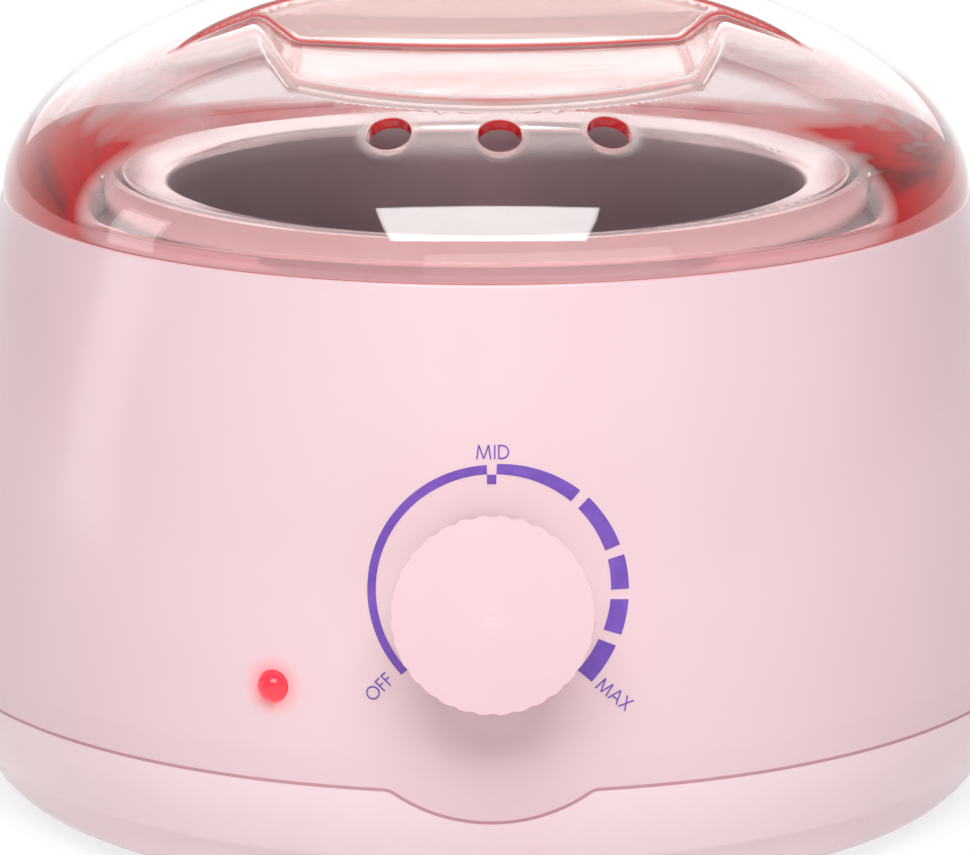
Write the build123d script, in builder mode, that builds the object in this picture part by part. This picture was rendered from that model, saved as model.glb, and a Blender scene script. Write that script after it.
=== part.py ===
"""Tabletop wax warmer with a lift-out pot, a swing-over bail and a clear domed lid.

Lengths are in millimetres. +Z is up, -Y is the front with the knob, and the origin is on the
table under the middle of the body.
"""
from build123d import *
import os
from math import asin, cos, degrees, radians, sin, sqrt, tan

# ------------------------------------------------------------------ driving dimensions
# Outline of the body
rim_height = 98.7            # top edge of the housing, and foot of the lid
belly_radius = 91.2          # widest part of the body
belly_height = 28.0
rim_inset = 12.2             # insets are from the belly
rim_radius = belly_radius - rim_inset
seam_height = 22.8           # split between upper housing and base cover
skirt_inset = 4.5            # lower edge of the skirt
skirt_radius = belly_radius - skirt_inset
skirt_height = 10.3
base_inset = 8.7             # underside of the base, inside the skirt
base_radius = belly_radius - base_inset
foot_height = 2.8            # gap between the base and the table
body_wall = 2.4
seam_gap = 0.3
shell_gap = 0.3              # clearance between nested plastic edges
running_gap = 0.05           # clearance of a pin or shaft that turns in its hole
seat_gap = 0.1               # clearance of a fixed round piece in its seat

# Dip of the seam under the knob
dip_depth = 5.2
dip_half_width = 15.5
dip_corner = 3.0

# Mouth of the housing
rim_land = 2.7
collar_drop = 2.4            # below the rim
collar_height = rim_height - collar_drop
collar_width = 14.0          # from the rim in to the edge of the opening round the pot
collar_radius = rim_radius - collar_width
collar_thickness = 2.2
collar_lip = 5.0             # depth of the opening's inner edge
collar_lip_wall = 2.0

# Wax pot
pot_thickness = 0.9
pot_rim_gap = 5.4            # between the pot's rim and the collar
pot_rim_radius = collar_radius - pot_rim_gap
pot_rim_width = 6.7
pot_radius = pot_rim_radius - pot_rim_width
pot_rise = 3.2               # above the housing's rim
pot_rim_height = rim_height + pot_rise
pot_rim_fall = 1.7           # the rim slopes down towards the middle
pot_rim_inner_height = pot_rim_height - pot_rim_fall
pot_corner = 6.5
pot_bead = 0.85              # radius of the rolled edge

# Bail
bail_gap = 3.3               # from the middle of the strap to the collar
bail_radius = collar_radius - bail_gap
bail_thickness = 1.4
bail_width = 5.6
bail_drop = 2.8              # pivot axis below the pot's rim
bail_height = pot_rim_height - bail_drop
bail_pin_radius = 1.25
rivet_head_radius = 2.3
rivet_head_height = 0.8
ear_thickness = 0.7
ear_half_width = 3.5
ear_drop = 4.5               # how far an ear reaches below the pivot
ear_top = 2.4                # above the pivot
ear_strap = 6.0              # length spot-welded to the pot
ear_gap = 0.3                # between an ear and the strap

# Heating well
pot_gap = 1.3                # round the pot
well_radius = pot_radius + pot_gap
well_thickness = 0.8
well_floor = 34.0            # top of the floor, where the pot stands
well_funnel_drop = 12.7      # below the housing's rim
well_funnel_height = rim_height - well_funnel_drop
well_flange = 7.0            # past the edge of the collar's opening
well_flange_radius = collar_radius + well_flange
well_corner = 5.0
well_screw_offset = 4.2      # from the edge of the collar's opening
well_screw_circle = collar_radius + well_screw_offset
well_boss_radius = 3.0
well_screw_radius = 1.5

# Lid
lid_rise = 36.6              # height of the dome above its foot
lid_wall = 2.4
lid_bulge = 1.95             # exponent of the dome's outline, 2 is an ellipse
lid_turn = 1.3               # degrees, the loose lid stands slightly turned
spigot_depth = 1.5
spigot_wall = 1.3
spigot_root = 2.0
vent_radius = 3.4
vent_spacing = 16.8
vent_lift = 20.3             # from the lid's foot to where a vent's axis meets the outside
vent_height = rim_height + vent_lift
vent_rise = 57.0             # degrees above level, so a vent stands square to the wall
vent_reach = 5.0
handle_half_width = 13.4     # at the floor of the finger recesses
handle_draft = 13.0          # degrees
handle_straight = 30.0       # half length of the handle's straight side
handle_flare_reach = 52.0
handle_flare_depth = 11.3
recess_lift = 24.7           # from the lid's foot to the middle of a recess's floor
recess_floor = rim_height + recess_lift
recess_dish = 1.0            # rise of the floor towards its ends
recess_floor_end = recess_floor + recess_dish
recess_half_length = 31.0
recess_hump = 36.6           # shoulder at each end of a recess, distance from the middle
recess_hump_rise = 5.5
recess_hump_height = recess_floor + recess_hump_rise
recess_end = 50.0
recess_end_round = 14.0
recess_hump_round = 3.4
recess_floor_round = 3.0
recess_end_rise = 1.5
recess_end_height = recess_floor + recess_end_rise

# Knob, thermostat and front wall
knob_height = 53.2           # where the knob's axis meets the wall
knob_tilt = 2.0              # degrees above level
knob_radius = 15.5
knob_draft = 12.0            # degrees, the grip narrows towards the wall
knob_flutes = 32
flute_radius = 1.6
flute_depth = 0.4
knob_stand_off = 1.2
knob_face = 13.4             # from the wall
knob_crown = 0.7             # rise of the domed face
knob_edge = 0.35
knob_wall = 1.8
knob_hub_radius = 5.0
shaft_radius = 3.0
shaft_flat = 0.8             # cut off one side of the shaft
shaft_tip = 10.4             # from the wall
wall_hole_radius = 4.0
bracket_depth = 13.0         # front face of the bracket, behind the wall
bracket_thickness = 1.2
bracket_half_length = 19.0
bracket_half_height = 8.0
bracket_screw_spacing = 28.0
bracket_boss_radius = 3.2
small_screw_radius = 1.3
bushing_radius = 4.4
bushing_nut_radius = 6.4     # across the corners
bushing_nut_height = 2.6
bushing_reach = 5.0          # in front of the bracket
thermostat_width = 20.0
thermostat_height = 18.0
thermostat_depth = 9.0
thermostat_socket = 3.0
bracket_screw_bite = 6.5     # length of a bracket screw inside its boss
tab_length = 8.0             # push-on tabs of the thermostat
tab_width = 4.8
tab_thickness = 0.8
tab_step = 6.0               # how far the tabs stand apart past the body

# Pilot lamp
lamp_azimuth = -21.4         # degrees from the front, towards -X
lamp_height = 37.8
lens_radius = 2.4
lens_proud = 2.2
lens_cap = 2.0               # height of the rounded tip
lens_flange_radius = 3.4
lens_flange = 1.0
lamp_bulb_radius = 1.6
lamp_bulb_length = 9.0
lamp_holder_wall = 1.2
lamp_holder_length = 13.0

# Heater round the well
heater_bottom = 42.0
heater_top = 64.0
heater_thickness = 1.5
clamp_thickness = 0.8
clamp_width = 8.0
clamp_split = 4.0
clamp_ear_length = 8.0
clamp_screw_length = 9.5
sleeve_bottom = 38.0
sleeve_top = 70.0
sleeve_thickness = 4.0
sleeve_gap = 0.6
sleeve_slot = 16.0

# Thermal fuse under the well
fuse_radius = 2.0
fuse_length = 14.0
fuse_lead_radius = 0.5
fuse_lead_length = 5.0
fuse_offset = 20.0
clip_wall = 0.8
clip_width = 8.0
clip_half_length = 8.0

# Base cover
base_floor = 2.4
base_lip = 3.0               # height of the edge that stands inside the housing
base_lip_wall = 1.4
base_step = 1.4              # set-back of the base below the skirt
base_corner = 1.5
column_inset = 2.4           # screw columns and posts, in from the rim
column_circle = rim_radius - column_inset
column_radius = 3.6
column_turn = 60.0           # degrees, first column from +X
column_count = 3
post_radius = 4.6
base_screw_radius = 1.5
base_screw_grip = 9.0        # length inside a column
screw_head_radius = 2.9
screw_head_height = 1.8
head_recess = 6.0            # depth of the counterbore in a post
driver_length = 3.6          # cross slot in a screw's head
driver_width = 0.8
driver_depth = 1.0
vent_slot_length = 22.0
vent_slot_width = 2.4
vent_slot_pitch = 5.0
vent_slot_count = 5
foot_radius = 7.0
foot_inset = 14.5            # from the edge of the base
foot_circle = base_radius - foot_inset
foot_stem_radius = 2.4
foot_count = 4

# Terminal block and cord inlet at the back
block_length = 30.0
block_width = 17.0
block_height = 13.0
block_inset = 29.2           # from the belly at the back
block_distance = belly_radius - block_inset
block_ways = 3
block_pitch = 9.0
block_screw_radius = 1.9
block_screw_depth = 4.0
block_screw_sink = 0.8       # below the top of the block
block_slot_width = 0.6
block_slot_depth = 0.7
block_corner = 1.2
block_way = 1.5              # radius of a wire's way
block_fixing = 1.3           # radius of the holes under the block
block_fixing_depth = 3.3
inlet_height = 36.0
inlet_bore = 3.2
inlet_hole = 6.0
inlet_throat = 4.4           # radius inside the housing, wider than the bore
inlet_boss_radius = 5.8
inlet_boss = 5.0             # how far the boss stands out of the wall
inlet_flange_radius = 8.0
inlet_flange = 1.6
inlet_sleeve = 6.0           # length inside the housing

# ------------------------------------------------------------------ shapes worked out from them
flank_arc = ((rim_height - belly_height) ** 2 + (belly_radius - rim_radius) ** 2) / (
    2 * (belly_radius - rim_radius))
lower_arc = ((belly_height - skirt_height) ** 2 + (belly_radius - skirt_radius) ** 2) / (
    2 * (belly_radius - skirt_radius))
collar_underside = collar_height - collar_thickness
lip_bottom = collar_height - collar_lip
floor_top = foot_height + base_floor
dip_bottom = seam_height - dip_depth
well_outer = well_radius + well_thickness
heater_inner = well_outer + seat_gap
heater_outer = heater_inner + heater_thickness
clamp_inner = heater_outer + seat_gap
clamp_outer = clamp_inner + clamp_thickness
sleeve_inner = clamp_outer + sleeve_gap
big = 200.0                  # larger than any piece, for cutting


def body_radius(height):
    """Outside radius of the housing and skirt at a height above the table."""
    arc = flank_arc if height >= belly_height else lower_arc
    return belly_radius - arc + sqrt(arc ** 2 - (height - belly_height) ** 2)


def wall_arc(start, end, inset=0.0):
    """Stretch of the body's outline between two heights, moved in by inset."""
    heights = (start, (start + end) / 2, end)
    return ThreePointArc(*[(body_radius(z) - inset, z) for z in heights])


def wall_slope(height):
    """Angle of the outside wall from upright, in degrees."""
    return degrees(asin((height - belly_height) / (flank_arc if height >= belly_height else lower_arc)))


def wall_plane(azimuth, height, tilt):
    """Plane on the outside wall, its Z pointing out of the body, raised by tilt degrees."""
    a, t = radians(azimuth), radians(tilt)
    out = (sin(a), -cos(a))
    return Plane(origin=(body_radius(height) * out[0], body_radius(height) * out[1], height),
                 x_dir=(cos(a), sin(a), 0), z_dir=(out[0] * cos(t), out[1] * cos(t), sin(t)))


knob_plane = wall_plane(0, knob_height, knob_tilt)
lamp_plane = wall_plane(lamp_azimuth, lamp_height, wall_slope(lamp_height))
turn = radians(lid_turn)
lid_front = Plane(origin=(0, 0, 0), x_dir=(cos(turn), sin(turn), 0), z_dir=(sin(turn), -cos(turn), 0))


def lid_level(height):
    """Level plane in the lid's own turned frame."""
    return Plane(origin=(0, 0, height), x_dir=(cos(turn), sin(turn), 0), z_dir=(0, 0, 1))


column_places = PolarLocations(column_circle, column_count, start_angle=column_turn)
well_screw_places = PolarLocations(well_screw_circle, column_count, start_angle=column_turn - 60)
foot_places = PolarLocations(foot_circle, foot_count, start_angle=45)

# Outline of the housing's edge at the front, seam and dip, drawn in X and Z.
with BuildSketch() as seam_front:
    with BuildLine():
        Polyline((dip_half_width, seam_height), (2 * dip_half_width, seam_height),
                 (2 * dip_half_width, rim_height), (-2 * dip_half_width, rim_height),
                 (-2 * dip_half_width, seam_height), (-dip_half_width, seam_height))
        ThreePointArc((-dip_half_width, seam_height), (0, dip_bottom), (dip_half_width, seam_height))
    make_face()
    fillet(seam_front.vertices().filter_by(
        lambda v: abs(abs(v.X) - dip_half_width) < 0.01 and abs(v.Y - seam_height) < 0.01), dip_corner)

# ------------------------------------------------------------------ upper housing
front_window = Plane.XZ.offset(body_radius(seam_height) / 2)
with BuildPart() as upper_housing:
    with BuildSketch(Plane.XZ):
        with BuildLine():
            wall_arc(dip_bottom, belly_height)
            wall_arc(belly_height, rim_height)
            Polyline((rim_radius, rim_height), (rim_radius - rim_land, rim_height),
                     (rim_radius - rim_land, collar_height), (collar_radius, collar_height),
                     (collar_radius, lip_bottom), (collar_radius + collar_lip_wall, lip_bottom),
                     (collar_radius + collar_lip_wall, collar_underside),
                     (body_radius(collar_underside) - body_wall, collar_underside))
            wall_arc(collar_underside, belly_height, body_wall)
            wall_arc(belly_height, dip_bottom, body_wall)
            Line((body_radius(dip_bottom) - body_wall, dip_bottom), (body_radius(dip_bottom), dip_bottom))
        make_face()
    revolve(axis=Axis.Z)
    # Below the seam only the tongue at the front stays.
    with BuildSketch(Plane.XY.offset(dip_bottom - 1)):
        Circle(big)
        with Locations((0, -big / 2)):
            Rectangle(2 * dip_half_width + 4 * dip_corner, big, mode=Mode.SUBTRACT)
    extrude(amount=dip_depth + 1, mode=Mode.SUBTRACT)
    with BuildSketch(front_window):
        with Locations((0, seam_height - dip_depth / 2 - 1)):
            Rectangle(2 * dip_half_width + 6 * dip_corner, dip_depth + 2)
        add(seam_front.sketch, mode=Mode.SUBTRACT)
    extrude(amount=big, mode=Mode.SUBTRACT)
    # Columns for the base screws and bosses for the well screws.
    with BuildSketch(Plane.XY.offset(seam_height)):
        with column_places:
            Circle(column_radius)
    extrude(amount=collar_underside + collar_thickness / 2 - seam_height)
    with BuildSketch(Plane.XY.offset(lip_bottom)):
        with well_screw_places:
            Circle(well_boss_radius)
    extrude(amount=collar_lip - collar_thickness / 2)
    with BuildSketch(Plane.XY.offset(seam_height)):
        with column_places:
            Circle(base_screw_radius + running_gap)
    extrude(amount=base_screw_grip + 1, mode=Mode.SUBTRACT)
    with BuildSketch(Plane.XY.offset(lip_bottom)):
        with well_screw_places:
            Circle(well_screw_radius + running_gap)
    extrude(amount=collar_lip - 1.2, mode=Mode.SUBTRACT)
    # Bosses for the thermostat bracket, then the holes in the front and back walls.
    with BuildSketch(knob_plane.offset(-bracket_depth)):
        with GridLocations(bracket_screw_spacing, 0, 2, 1):
            Circle(bracket_boss_radius)
    extrude(amount=bracket_depth - 1.7)
    with BuildSketch(knob_plane.offset(-bracket_depth)):
        with GridLocations(bracket_screw_spacing, 0, 2, 1):
            Circle(small_screw_radius + running_gap)
    extrude(amount=7.5, mode=Mode.SUBTRACT)
    with BuildSketch(knob_plane.offset(-body_wall * 2)):
        Circle(wall_hole_radius)
    extrude(amount=body_wall * 4, mode=Mode.SUBTRACT)
    with BuildSketch(lamp_plane.offset(-body_wall * 2)):
        Circle(lens_radius + seat_gap)
    extrude(amount=body_wall * 4, mode=Mode.SUBTRACT)
    with BuildSketch(Plane.XZ.offset(-body_radius(inlet_height) - body_wall)):
        with Locations((0, inlet_height)):
            Circle(inlet_hole + seat_gap)
    extrude(amount=body_wall * 4, mode=Mode.SUBTRACT)
    fillet(upper_housing.edges().filter_by(GeomType.CIRCLE).filter_by(
        lambda e: abs(e.radius - rim_radius) < 0.01 and abs(e.center().Z - rim_height) < 0.01), 0.5)
    fillet(upper_housing.edges().filter_by(GeomType.CIRCLE).filter_by(
        lambda e: abs(e.radius - collar_radius) < 0.01 and abs(e.center().Z - collar_height) < 0.01), 0.9)

# ------------------------------------------------------------------ base cover
lip_outset = body_wall + shell_gap
lip_inset = lip_outset + base_lip_wall
pocket_bottom = dip_bottom - shell_gap - 1.8
shoulder = pocket_bottom - 1.5
with BuildPart() as tongue_pocket:
    with BuildSketch(Plane.XZ):
        with BuildLine():
            wall_arc(dip_bottom - 1, seam_height + 1, -1)
            wall_arc(seam_height + 1, dip_bottom - 1, lip_outset)
            for z in (dip_bottom - 1, seam_height + 1):
                Line((body_radius(z) + 1, z), (body_radius(z) - lip_outset, z))
        make_face()
    revolve(axis=Axis.Z)
    with BuildSketch(front_window):
        add(seam_front.sketch)
        offset(amount=seam_gap)
    extrude(amount=big, mode=Mode.INTERSECT)

with BuildPart() as base_cover:
    with BuildSketch(Plane.XZ):
        edge = seam_height - seam_gap
        band = skirt_radius - base_step
        with BuildLine():
            Polyline((0, foot_height), (base_radius - base_corner, foot_height),
                     (base_radius, foot_height + base_corner), (band, skirt_height),
                     (skirt_radius, skirt_height))
            wall_arc(skirt_height, edge)
            Polyline((body_radius(edge), edge), (body_radius(edge) - lip_outset, edge),
                     (body_radius(edge) - lip_outset, seam_height + base_lip),
                     (body_radius(edge) - lip_inset, seam_height + base_lip),
                     (body_radius(edge) - lip_inset, pocket_bottom),
                     (body_radius(shoulder) - body_wall, shoulder))
            wall_arc(shoulder, skirt_height + 1, body_wall)
            Polyline((body_radius(skirt_height + 1) - body_wall, skirt_height + 1),
                     (band - body_wall, skirt_height), (base_radius - body_wall, floor_top),
                     (0, floor_top), (0, foot_height))
        make_face()
    revolve(axis=Axis.Z)
    add(tongue_pocket.part, mode=Mode.SUBTRACT)
    # Posts that meet the housing's columns, with a recess for each screw head.
    with BuildSketch(Plane.XY.offset(floor_top - 0.5)):
        with column_places:
            Circle(post_radius)
    extrude(amount=seam_height - seam_gap - floor_top + 0.5)
    with BuildSketch(Plane.XY.offset(foot_height)):
        with column_places:
            Circle(base_screw_radius + running_gap)
    extrude(amount=seam_height, mode=Mode.SUBTRACT)
    with BuildSketch(Plane.XY.offset(foot_height)):
        with column_places:
            Circle(screw_head_radius + shell_gap)
    extrude(amount=head_recess, mode=Mode.SUBTRACT)
    # Foot stems and air slots.
    with BuildSketch(Plane.XY.offset(foot_height)):
        with foot_places:
            Circle(foot_stem_radius + running_gap)
        with GridLocations(0, vent_slot_pitch, 1, vent_slot_count):
            SlotOverall(vent_slot_length, vent_slot_width)
    extrude(amount=base_floor, mode=Mode.SUBTRACT)
    # Pegs that locate the terminal block.
    with BuildSketch(Plane.XY.offset(floor_top - 0.5)):
        with Locations((0, block_distance)):
            with GridLocations(block_pitch, 0, 2, 1):
                Circle(1.2)
    extrude(amount=3.5)

# ------------------------------------------------------------------ heating well
with BuildPart() as heating_well:
    with BuildSketch(Plane.XZ):
        middle = well_radius + well_thickness / 2
        flange_level = lip_bottom - well_thickness / 2
        with BuildLine():
            FilletPolyline((0, well_floor - well_thickness / 2), (middle, well_floor - well_thickness / 2),
                           (middle, well_funnel_height), (collar_radius - 0.6, flange_level),
                           (well_flange_radius, flange_level), radius=[well_corner, 4, 1.5])
        trace(line_width=well_thickness)
    revolve(axis=Axis.Z)
    with BuildSketch(Plane.XY.offset(lip_bottom - 2 * well_thickness)):
        with well_screw_places:
            Circle(well_screw_radius + seat_gap)
    extrude(amount=4 * well_thickness, mode=Mode.SUBTRACT)

with BuildPart() as well_screws:
    with BuildSketch(Plane.XY.offset(lip_bottom - well_thickness)):
        with well_screw_places:
            Circle(well_screw_radius)
    extrude(amount=well_thickness + collar_lip - 1.8)
    with BuildSketch(Plane.XY.offset(lip_bottom - well_thickness - screw_head_height)):
        with well_screw_places:
            Circle(screw_head_radius - 0.2)
    extrude(amount=screw_head_height)
    with BuildSketch(Plane.XY.offset(lip_bottom - well_thickness - screw_head_height)):
        with well_screw_places:
            Rectangle(3.2, 0.7)
            Rectangle(0.7, 3.2)
    extrude(amount=1.0, mode=Mode.SUBTRACT)


# ------------------------------------------------------------------ heater, clamp and insulation
with BuildPart() as heater_band:
    with BuildSketch(Plane.XY.offset(heater_bottom)):
        Circle(heater_outer)
        Circle(heater_inner, mode=Mode.SUBTRACT)
        with Locations((heater_inner, 0)):
            Rectangle(4 * heater_thickness, clamp_split / 2, mode=Mode.SUBTRACT)
    extrude(amount=heater_top - heater_bottom)
    # Two tabs for the push-on leads.
    with BuildSketch(Plane.XY.offset(heater_bottom - 7)):
        with PolarLocations((heater_inner + heater_outer) / 2, 2, start_angle=-150, angular_range=-25):
            Rectangle(0.8, 6.3)
    extrude(amount=8)

clamp_middle = (heater_bottom + heater_top) / 2
with BuildPart() as heater_clamp:
    with BuildSketch(Plane.XY.offset(clamp_middle - clamp_width / 2)):
        Circle(clamp_outer)
        with Locations((clamp_outer + clamp_ear_length / 2 - 1, 0)):
            Rectangle(clamp_ear_length, clamp_split + 2 * clamp_thickness)
        Circle(clamp_inner, mode=Mode.SUBTRACT)
        with Locations((clamp_outer + clamp_ear_length / 2, 0)):
            Rectangle(2 * clamp_ear_length, clamp_split, mode=Mode.SUBTRACT)
    extrude(amount=clamp_width)
    ear_middle = clamp_outer + clamp_ear_length / 2
    with BuildSketch(Plane.XZ):
        with Locations((ear_middle, clamp_middle)):
            Circle(base_screw_radius + seat_gap)
    extrude(amount=clamp_split * 2, both=True, mode=Mode.SUBTRACT)

clamp_reach = clamp_split / 2 + clamp_thickness
with BuildPart() as clamp_screw:
    with BuildSketch(Plane.XZ.offset(clamp_reach)):
        with Locations((ear_middle, clamp_middle)):
            Circle(screw_head_radius)
    extrude(amount=screw_head_height)
    with BuildSketch(Plane.XZ.offset(clamp_reach)):
        with Locations((ear_middle, clamp_middle)):
            Circle(base_screw_radius)
    extrude(amount=-clamp_screw_length)
    with BuildSketch(Plane.XZ.offset(clamp_reach + screw_head_height)):
        with Locations((ear_middle, clamp_middle)):
            Rectangle(4, 0.8)
    extrude(amount=-0.9, mode=Mode.SUBTRACT)

with BuildPart() as clamp_nut:
    with BuildSketch(Plane.XZ.offset(-clamp_reach)):
        with Locations((ear_middle, clamp_middle)):
            RegularPolygon(3.1, 6)
            Circle(base_screw_radius + running_gap, mode=Mode.SUBTRACT)
    extrude(amount=-2.4)

with BuildPart() as insulation_sleeve:
    with BuildSketch(Plane.XY.offset(sleeve_bottom)):
        Circle(sleeve_inner + sleeve_thickness)
        Circle(sleeve_inner, mode=Mode.SUBTRACT)
        with Locations((sleeve_inner, 0)):
            Rectangle(4 * sleeve_thickness, sleeve_slot, mode=Mode.SUBTRACT)
    extrude(amount=sleeve_top - sleeve_bottom)
    fillet(insulation_sleeve.edges().filter_by(Axis.Z), 1.0)

# ------------------------------------------------------------------ thermal fuse
clip_radius = fuse_radius + seat_gap + clip_wall
fuse_height = well_floor - well_thickness - clip_radius
with BuildPart() as fuse_clip:
    with BuildSketch(Plane.YZ.offset(fuse_offset - clip_width / 2)):
        with Locations((0, fuse_height)):
            Circle(clip_radius)
        with Locations((0, fuse_height + clip_radius - clip_wall / 2)):
            Rectangle(2 * clip_half_length, clip_wall)
        with Locations((0, fuse_height)):
            Circle(fuse_radius + seat_gap, mode=Mode.SUBTRACT)
    extrude(amount=clip_width)

with BuildPart() as thermal_fuse:
    with BuildSketch(Plane.XZ):
        with BuildLine():
            half = fuse_length / 2
            Polyline((fuse_offset - half, fuse_height), (fuse_offset - half - fuse_lead_length, fuse_height),
                     (fuse_offset - half - fuse_lead_length, fuse_height + fuse_lead_radius),
                     (fuse_offset - half, fuse_height + fuse_lead_radius),
                     (fuse_offset - half, fuse_height + fuse_radius - 0.5),
                     (fuse_offset - half + 0.5, fuse_height + fuse_radius),
                     (fuse_offset + half - 1.5, fuse_height + fuse_radius),
                     (fuse_offset + half, fuse_height + fuse_lead_radius),
                     (fuse_offset + half + fuse_lead_length, fuse_height + fuse_lead_radius),
                     (fuse_offset + half + fuse_lead_length, fuse_height),
                     (fuse_offset - half, fuse_height))
        make_face()
    revolve(axis=Axis((0, 0, fuse_height), (1, 0, 0)))

# ------------------------------------------------------------------ thermostat
with BuildPart() as thermostat_bracket:
    with BuildSketch(knob_plane.offset(-bracket_depth)):
        RectangleRounded(2 * bracket_half_length, 2 * bracket_half_height, 3)
        Circle(bushing_radius + seat_gap, mode=Mode.SUBTRACT)
        with GridLocations(bracket_screw_spacing, 0, 2, 1):
            Circle(small_screw_radius + seat_gap, mode=Mode.SUBTRACT)
    extrude(amount=-bracket_thickness)

with BuildPart() as bracket_screws:
    with BuildSketch(knob_plane.offset(-bracket_depth - bracket_thickness)):
        with GridLocations(bracket_screw_spacing, 0, 2, 1):
            Circle(small_screw_radius)
    extrude(amount=bracket_thickness + bracket_screw_bite)
    with BuildSketch(knob_plane.offset(-bracket_depth - bracket_thickness)):
        with GridLocations(bracket_screw_spacing, 0, 2, 1):
            Circle(screw_head_radius - 0.4)
    extrude(amount=-screw_head_height)
    with BuildSketch(knob_plane.offset(-bracket_depth - bracket_thickness - screw_head_height)):
        with GridLocations(bracket_screw_spacing, 0, 2, 1):
            Rectangle(3, 0.7)
            Rectangle(0.7, 3)
    extrude(amount=0.9, mode=Mode.SUBTRACT)

with BuildPart() as thermostat_bushing:
    with BuildSketch(knob_plane.offset(-bracket_depth - bracket_thickness)):
        Circle(bushing_radius)
    extrude(amount=bracket_thickness + bushing_reach)
    with BuildSketch(knob_plane.offset(-bracket_depth)):
        RegularPolygon(bushing_nut_radius, 6)
    extrude(amount=bushing_nut_height)
    with BuildSketch(knob_plane.offset(-bracket_depth - bracket_thickness)):
        Circle(shaft_radius + running_gap)
    extrude(amount=bracket_thickness + bushing_reach, mode=Mode.SUBTRACT)

body_front = -bracket_depth - bracket_thickness
with BuildPart() as thermostat_body:
    with BuildSketch(knob_plane.offset(body_front)):
        RectangleRounded(thermostat_width, thermostat_height, 2)
    extrude(amount=-thermostat_depth)
    with BuildSketch(knob_plane.offset(body_front - thermostat_depth / 2)):
        with GridLocations(thermostat_width / 2, thermostat_height + tab_step, 2, 2):
            Rectangle(tab_width, tab_length)
    extrude(amount=-tab_thickness)
    with BuildSketch(knob_plane.offset(body_front)):
        Circle(shaft_radius + running_gap)
    extrude(amount=-thermostat_socket - 0.5, mode=Mode.SUBTRACT)

with BuildPart() as thermostat_shaft:
    with BuildSketch(knob_plane.offset(body_front - thermostat_socket)):
        Circle(shaft_radius)
    extrude(amount=thermostat_socket - body_front + shaft_tip)
    with BuildSketch(knob_plane.offset(shaft_tip)):
        with Locations((0, shaft_radius)):
            Rectangle(4 * shaft_radius, 2 * shaft_flat)
    extrude(amount=knob_stand_off - shaft_tip - 0.5, mode=Mode.SUBTRACT)
    chamfer(thermostat_shaft.faces().sort_by(Axis(knob_plane.origin, knob_plane.z_dir))[-1].edges(), 0.4)

# ------------------------------------------------------------------ knob
knob_inner = knob_radius - knob_wall - flute_depth
knob_taper = tan(radians(knob_draft))
with BuildPart() as knob:
    with BuildSketch(knob_plane.offset(knob_face)):
        Circle(knob_radius)
        with PolarLocations(knob_radius - flute_depth + flute_radius, knob_flutes):
            Circle(flute_radius, mode=Mode.SUBTRACT)
    extrude(amount=knob_stand_off - knob_face, taper=knob_draft)
    # Domed face and rounded edge.
    cap = Plane(origin=knob_plane.origin, x_dir=knob_plane.x_dir, z_dir=-knob_plane.y_dir)
    with BuildSketch(cap):
        with BuildLine():
            TangentArc((0, knob_face), (knob_radius - knob_edge, knob_face - knob_crown), tangent=(1, 0))
            RadiusArc((knob_radius - knob_edge, knob_face - knob_crown),
                      (knob_radius + 0.01, knob_face - knob_crown - knob_edge), -knob_edge * 1.05)
            Polyline((knob_radius + 0.01, knob_face - knob_crown - knob_edge), (knob_radius + 0.01, 0),
                     (0, 0), (0, knob_face))
        make_face()
    revolve(axis=Axis(knob_plane.origin, knob_plane.z_dir), mode=Mode.INTERSECT)
    # Hollow back with a hub for the shaft.
    with BuildSketch(knob_plane.offset(knob_face - 3)):
        Circle(knob_inner)
        Circle(knob_hub_radius, mode=Mode.SUBTRACT)
    extrude(amount=knob_stand_off - knob_face + 3, taper=knob_draft, mode=Mode.SUBTRACT)
    with BuildSketch(knob_plane.offset(knob_stand_off)):
        Circle(shaft_radius + running_gap)
        with Locations((0, shaft_radius + running_gap)):
            Rectangle(4 * shaft_radius, 2 * shaft_flat, mode=Mode.SUBTRACT)
    extrude(amount=shaft_tip + 0.3 - knob_stand_off, mode=Mode.SUBTRACT)

# ------------------------------------------------------------------ pilot lamp
lens_back = -body_wall - lens_flange - 0.2
lens_axis = Axis(lamp_plane.origin, lamp_plane.z_dir)
lens_side = Plane(origin=lamp_plane.origin, x_dir=lamp_plane.x_dir, z_dir=-lamp_plane.y_dir)
with BuildPart() as indicator_lens:
    with BuildSketch(lens_side):
        with BuildLine():
            Polyline((0, lens_proud), (0, lens_back + 3.6), (lens_radius - 0.8, lens_back + 3.6),
                     (lens_radius - 0.8, lens_back), (lens_flange_radius, lens_back),
                     (lens_flange_radius, lens_back + lens_flange), (lens_radius, lens_back + lens_flange),
                     (lens_radius, lens_proud - lens_cap))
            TangentArc((0, lens_proud), (lens_radius, lens_proud - lens_cap), tangent=(1, 0))
        make_face()
    revolve(axis=lens_axis)

with BuildPart() as lamp_holder:
    with BuildSketch(lamp_plane.offset(lens_back)):
        Circle(lens_radius + lamp_holder_wall)
        Circle(lens_radius - 0.6, mode=Mode.SUBTRACT)
    extrude(amount=-lamp_holder_length)
    with BuildSketch(lamp_plane.offset(lens_back - lamp_holder_length)):
        Circle(lens_radius + lamp_holder_wall)
        with GridLocations(2.0, 0, 2, 1):
            Circle(0.4, mode=Mode.SUBTRACT)
    extrude(amount=-1.2)

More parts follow.
